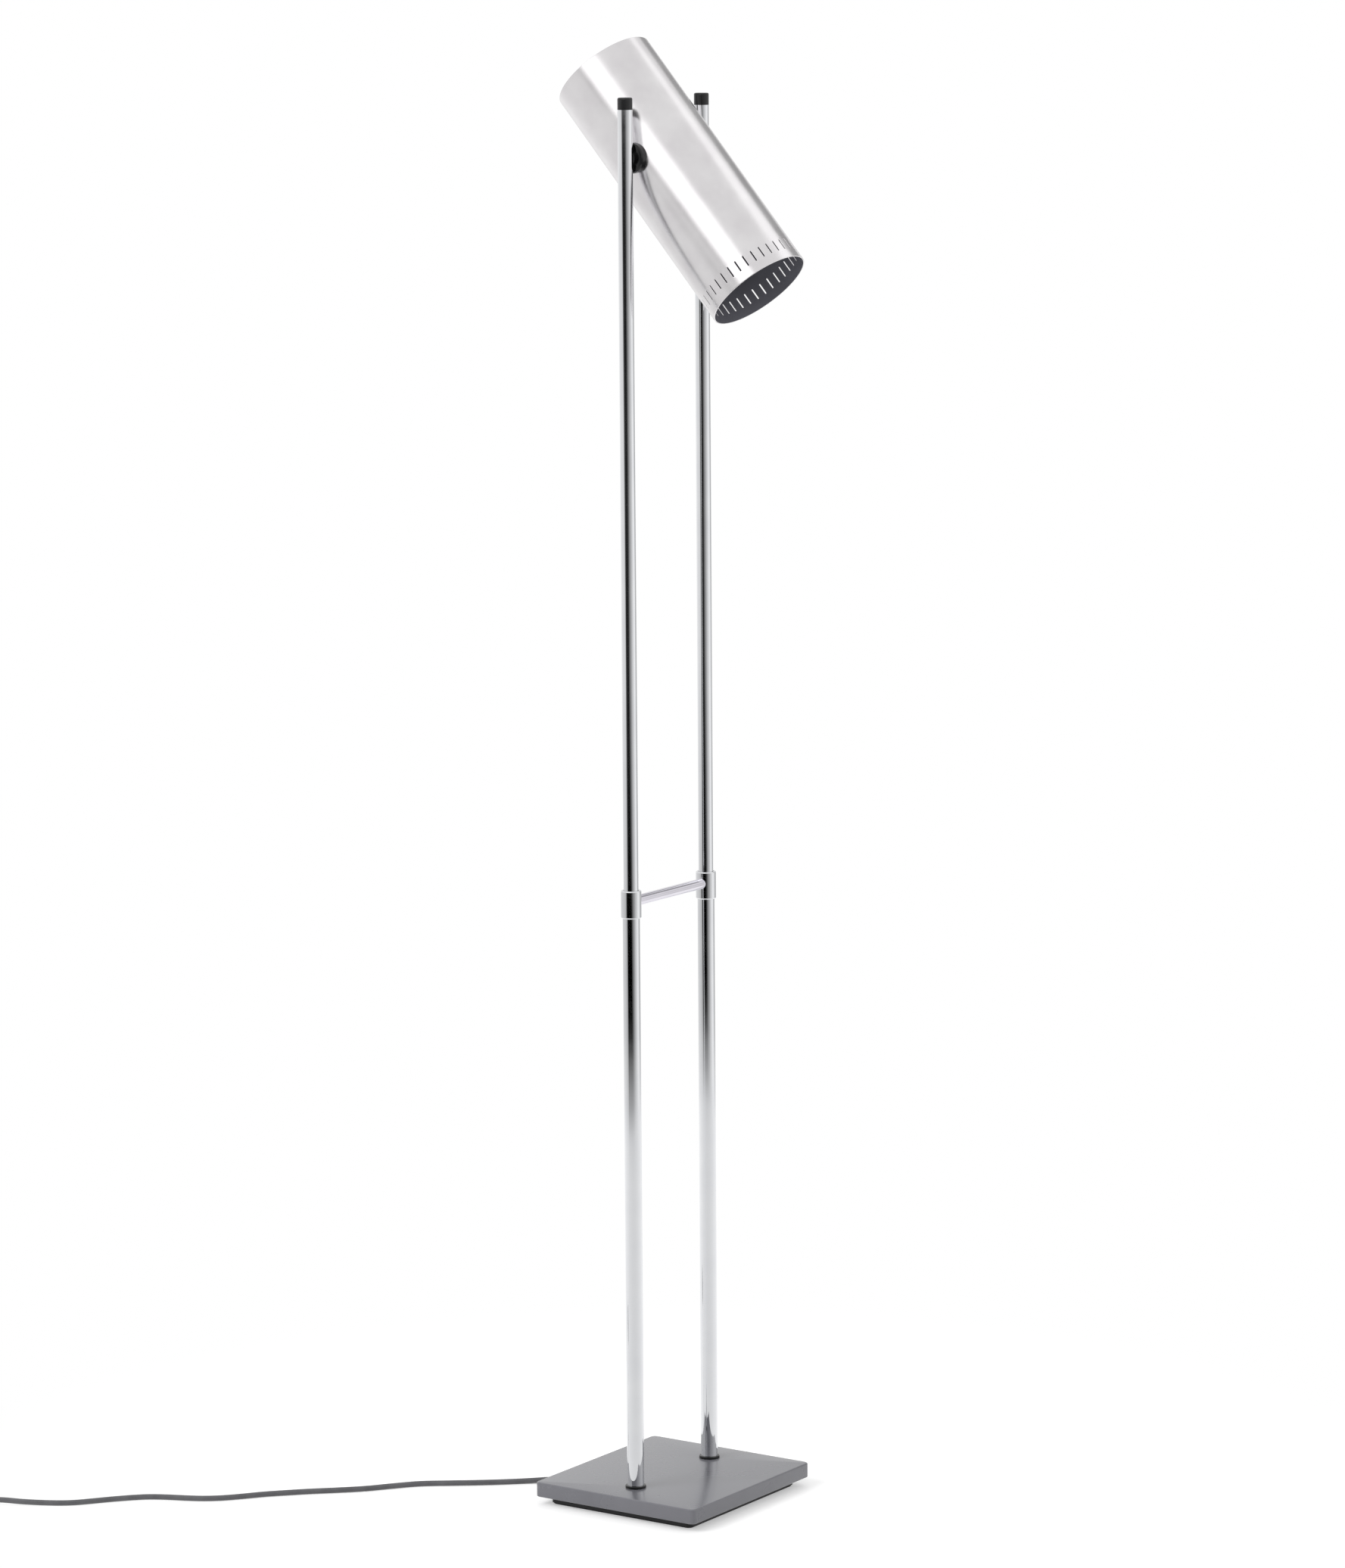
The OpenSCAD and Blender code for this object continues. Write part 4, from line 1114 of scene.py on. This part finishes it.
class Posts:
    """The two chromed posts: lower tubes, collars, the bar between them and the sliding rods."""

    def build(self, finishes: Finishes) -> None:
        """Dresses the posts."""
        dress(finishes["polished_chrome"], "front_tube", "rear_tube", "front_rod", "rear_rod",
              "front_collar", "rear_collar")
        dress(finishes["bar_chrome"], "crossbar")
        dress(finishes["zinc_steel"], "collar_grubs", "pivot_studs", "pivot_washers", "pivot_nuts")
        dress(finishes["nylon"], "collar_bushes", "rod_guides")
        dress(finishes["black_plastic"], "rod_caps", "pivot_saddles")
        dress(finishes["brass"], "pivot_inserts")


# ---------------------------------------------------------------- leads

@dataclass
class Leads:
    """The lead inside the lamp: through the foot, curled up the rear post, and on to the holder."""

    radius: float = 0.002
    curls: int = 11
    curl_steps: int = 20
    # Share of the curly stretch's length that is left with the rods at their lowest place
    closed_share: float = 0.143
    foot_bend: float = 0.008
    pivot_bend: float = 0.0022
    # Points in the foot, from the gland's block to the rear post
    foot_route: tuple[Flat, ...] = (
        (-0.0695, -0.032), (-0.056, -0.032), (-0.044, -0.031), (-0.037, -0.026), (-0.030, -0.0125),
        (-0.010, 0.0265), (-0.0035, 0.0395), (-0.0005, 0.0475))
    # Points in the shade's own frame, across it and along it, from the rear pivot to the holder
    shade_route: tuple[Flat, ...] = (
        (0.0358, 0.0), (0.0335, 0.0015), (0.031, 0.005), (0.030, 0.011), (0.030, 0.030), (0.030, 0.050),
        (0.030, 0.064), (0.0285, 0.072), (0.024, 0.078), (0.017, 0.081), (0.009, 0.0815), (0.003, 0.0795),
        (0.0005, 0.076), (0.0, 0.068))

    def build(self, finishes: Finishes) -> None:
        """Builds the four stretches of the lead."""
        finish = finishes["lead_pvc"]
        self.build_foot_stretch(finish)
        self.build_curly(finish)
        self.build_rod_stretch(finish)
        self.build_shade_stretch(finish)

    def build_foot_stretch(self, finish: bpy.types.Material) -> None:
        """Builds the stretch in the foot's channel, which turns up into the rear post."""
        level = (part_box("base_lead")[0].z + self.radius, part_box("base_lead")[1].z)
        post_y = self.post_y()
        line = smooth_line([Vector((x, y, level[0])) for x, y in self.foot_route], 5)
        for k in range(1, 9):
            turn = math.radians(90 * k / 8)
            line.append(Vector((0.0, post_y - self.foot_bend * (1 - math.sin(turn)),
                                level[0] + self.foot_bend * (1 - math.cos(turn)))))
        line.append(Vector((0.0, post_y, level[1])))
        lead = as_mesh(make_curve("foot_lead", line, self.radius, finish))
        place(lead, Body.STAND, "lead_pvc", "base_lead")

    def build_rod_stretch(self, finish: bpy.types.Material) -> None:
        """Builds the stretch up the rear rod, which turns into the hollow pivot stud."""
        low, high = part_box("rod_lead")
        post_y, top = self.post_y(), high.z - self.radius
        line = [Vector((0.0, post_y, low.z)), Vector((0.0, post_y, top - 0.05))]
        for k in range(7):
            turn = math.radians(90 * k / 6)
            line.append(Vector((0.0, post_y - self.pivot_bend * (1 - math.cos(turn)),
                                top - self.pivot_bend * (1 - math.sin(turn)))))
        line.append(Vector((0.0, low.y, top)))
        lead = as_mesh(make_curve("rod_lead_smooth", line, self.radius, finish))
        place(lead, Body.SLIDER, "lead_pvc", "rod_lead")

    def build_shade_stretch(self, finish: bpy.types.Material) -> None:
        """Builds the stretch over the bracket, from the hollow pivot stud to the holder's nipple."""
        line = smooth_line([Vector((0.0, y, z)) for y, z in self.shade_route], 5)
        lead = as_mesh(make_curve("shade_lead_smooth", line, self.radius, finish))
        lead.matrix_world = shade_frame()
        place(lead, Body.SHADE, "lead_pvc", "shade_lead")

    def post_y(self) -> float:
        """Finds the rear post's distance from the lamp's middle."""
        low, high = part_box("tube_lead")
        return (low.y + high.y) / 2

    def build_curly(self, finish: bpy.types.Material) -> None:
        """Builds the curly stretch up the rear post."""
        low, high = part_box("tube_lead")
        post_y = self.post_y()
        curl = (high.y - low.y) / 2 - self.radius
        straight = 2 * self.radius
        steps = self.curls * self.curl_steps
        line = [Vector((0.0, post_y, low.z))]
        for k in range(steps + 1):
            share = k / steps
            angle = math.radians(360 * self.curls * share)
            radius = curl * ease(self.curls * min(share, 1 - share))
            z = low.z + straight + (high.z - low.z - 2 * straight) * share
            line.append(Vector((radius * math.cos(angle), post_y + radius * math.sin(angle), z)))
        line.append(Vector((0.0, post_y, high.z)))
        lead = as_mesh(make_curve("curly_post_lead", line, self.radius, finish))
        place(lead, Body.STAND, "lead_pvc", "tube_lead")
        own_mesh(lead)


# ---------------------------------------------------------------- shade

@dataclass
class Shade:
    """The slotted cylinder shade with its vented top, the holder on its bracket and the bulb."""

    wall: float = 0.0012
    up: float = 0.100
    down: float = 0.158
    slots: int = 36
    slot_width: float = 0.0012
    slot_length: float = 0.011
    slot_rim: float = 0.009
    pin_hole: float = 0.00405
    round_edge: float = 0.00035
    arc_steps: int = 6

    def build(self, finishes: Finishes) -> None:
        """Builds and dresses the shade."""
        self.build_shell(finishes)
        dress(finishes["black_lacquer"], "shade_top", "holder_bracket")
        dress(finishes["black_plastic"], "pivot_discs")
        dress(finishes["bakelite"], "lampholder")
        dress(finishes["brass"], "holder_shell")
        dress(finishes["zinc_steel"], "holder_nipple")
        dress(finishes["bulb_metal"], "bulb_cap")
        dress(finishes["opal_glass"], "bulb_glass")

    def build_shell(self, finishes: Finishes) -> None:
        """Builds the tube from patches, each with the hole that it carries, and gives it its wall."""
        low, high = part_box("shade_tube")
        radius = (high.y - low.y) / 2
        bm = bmesh.new()
        slot_low = self.slot_rim - self.down
        slot_high = slot_low + self.slot_length
        margin = 0.0022
        sector = 360 / self.slots
        pin_half = 0.0085
        quarter = self.slots // 4
        rim = 0.0015
        # The levels between the holes only keep the patches short
        rows = [-self.down, -self.down + rim, slot_low - margin, slot_high + margin, -0.120, -0.085,
                -0.048, -pin_half, pin_half, 0.055, self.up - rim, self.up]
        for index in range(self.slots):
            start = sector * index
            for bottom, top in zip(rows, rows[1:]):
                if bottom == slot_low - margin:
                    self.holed_patch(bm, radius, (start, start + sector), (bottom, top), 8,
                                     self.slot_outline(radius, start + sector / 2, (slot_low, slot_high)))
                elif bottom == -pin_half and index in (quarter - 1, 3 * quarter - 1):
                    angle = start + sector
                    self.holed_patch(bm, radius, (start, start + 2 * sector), (bottom, top), 8,
                                     self.pin_outline(radius, angle))
                elif bottom == -pin_half and index in (quarter, 3 * quarter):
                    continue
                else:
                    steps = 8 if bottom == -pin_half else 1
                    self.plain_patch(bm, radius, (start, start + sector), (bottom, top), steps)
        bmesh.ops.remove_doubles(bm, verts=bm.verts, dist=1e-6)
        shell = make_object("slotted_shade_tube", bm, finishes["shade_chrome"])
        shell.data.materials.append(finishes["black_lacquer"])
        shell.matrix_world = shade_frame()
        wall = shell.modifiers.new("wall", "SOLIDIFY")
        wall.thickness = self.wall
        wall.offset = -1.0
        wall.use_even_offset = True
        wall.material_offset = 1
        rounded = shell.modifiers.new("rounded_edges", "BEVEL")
        rounded.width = self.round_edge
        rounded.segments = 3
        rounded.limit_method = "ANGLE"
        rounded.angle_limit = math.radians(50)
        rounded.harden_normals = True
        place(shell, Body.SHADE, "polished_chrome", "shade_tube", "slot_band")

    def on_wall(self, radius: float, angle: float, z: float) -> Point:
        """Finds a point on the tube at an angle in degrees and a height."""
        turn = math.radians(angle)
        return (radius * math.cos(turn), radius * math.sin(turn), z)

    def plain_patch(self, bm: bmesh.types.BMesh, radius: float, angles: Flat,
                    heights: Flat, steps: int) -> None:
        """Adds a closed patch of the tube."""
        columns, levels = shares(*angles, self.arc_steps), shares(*heights, steps)
        grid = [[bm.verts.new(self.on_wall(radius, a, z)) for a in columns] for z in levels]
        for low, high in zip(grid, grid[1:]):
            for k in range(self.arc_steps):
                bm.faces.new((low[k], low[k + 1], high[k + 1], high[k]))

    def holed_patch(self, bm: bmesh.types.BMesh, radius: float, angles: Flat,
                    heights: Flat, steps: int,
                    hole: Callable[[int, int], list[Point]]) -> None:
        """Adds a patch of the tube with a hole in its middle.

        Args:
            bm: The mesh.
            radius: Radius of the tube.
            angles: First and last angle of the patch, in degrees.
            heights: Its lowest and highest level.
            steps: Stretches along its height.
            hole: Finds the hole's outline for so many points across and along, from the lower left corner.
        """
        sectors = round((angles[1] - angles[0]) * self.slots / 360)
        across = self.arc_steps * sectors
        columns, levels = shares(*angles, across), shares(*heights, steps)
        border = ([(a, levels[0]) for a in columns[:-1]] + [(columns[-1], z) for z in levels[:-1]]
                  + [(a, levels[-1]) for a in columns[:0:-1]] + [(columns[0], z) for z in levels[:0:-1]])
        outer = [bm.verts.new(self.on_wall(radius, a, z)) for a, z in border]
        inner = [bm.verts.new(point) for point in hole(across, steps)]
        skin(bm, [outer, inner])

    def slot_outline(self, radius: float, angle: float,
                     heights: Flat) -> Callable[[int, int], list[Point]]:
        """Makes the finder of a round-ended slot's outline, its length along the tube."""
        half = self.slot_width / 2

        def outline(across: int, along: int) -> list[Point]:
            """Finds the slot's points: a half turn, a side, a half turn and a side."""
            low, high = heights[0] + half, heights[1] - half
            flat = arc(0, low, half, 180, 360, across)[:-1]
            flat += [(half, low + (high - low) * k / along) for k in range(along)]
            flat += arc(0, high, half, 0, 180, across)[:-1]
            flat += [(-half, high + (low - high) * k / along) for k in range(along)]
            return [self.on_wall(radius, angle + math.degrees(x / radius), z) for x, z in flat]

        return outline

    def pin_outline(self, radius: float, angle: float) -> Callable[[int, int], list[Point]]:
        """Makes the finder of a pivot hole's outline."""

        def outline(across: int, along: int) -> list[Point]:
            """Finds the hole's points, a quarter turn for each side of its patch."""
            flat = []
            for start, steps in ((225, across), (315, along), (45, across), (135, along)):
                flat += arc(0, 0, self.pin_hole, start, start + 90, steps)[:-1]
            return [self.on_wall(radius, angle + math.degrees(x / radius), z) for x, z in flat]

        return outline


# ---------------------------------------------------------------- whole


def main() -> None:
    """Builds the camera, the cord, the lamp and the studio, in that order."""
    logging.basicConfig(level=logging.INFO, format="%(name)s: %(message)s")
    PhotoCamera().build()
    finishes = Finishes()
    PowerCord().build(finishes)
    Foot().build(finishes)
    Posts().build(finishes)
    Leads().build(finishes)
    Shade().build(finishes)
    Studio().build()


if __name__ == "__main__":
    main()
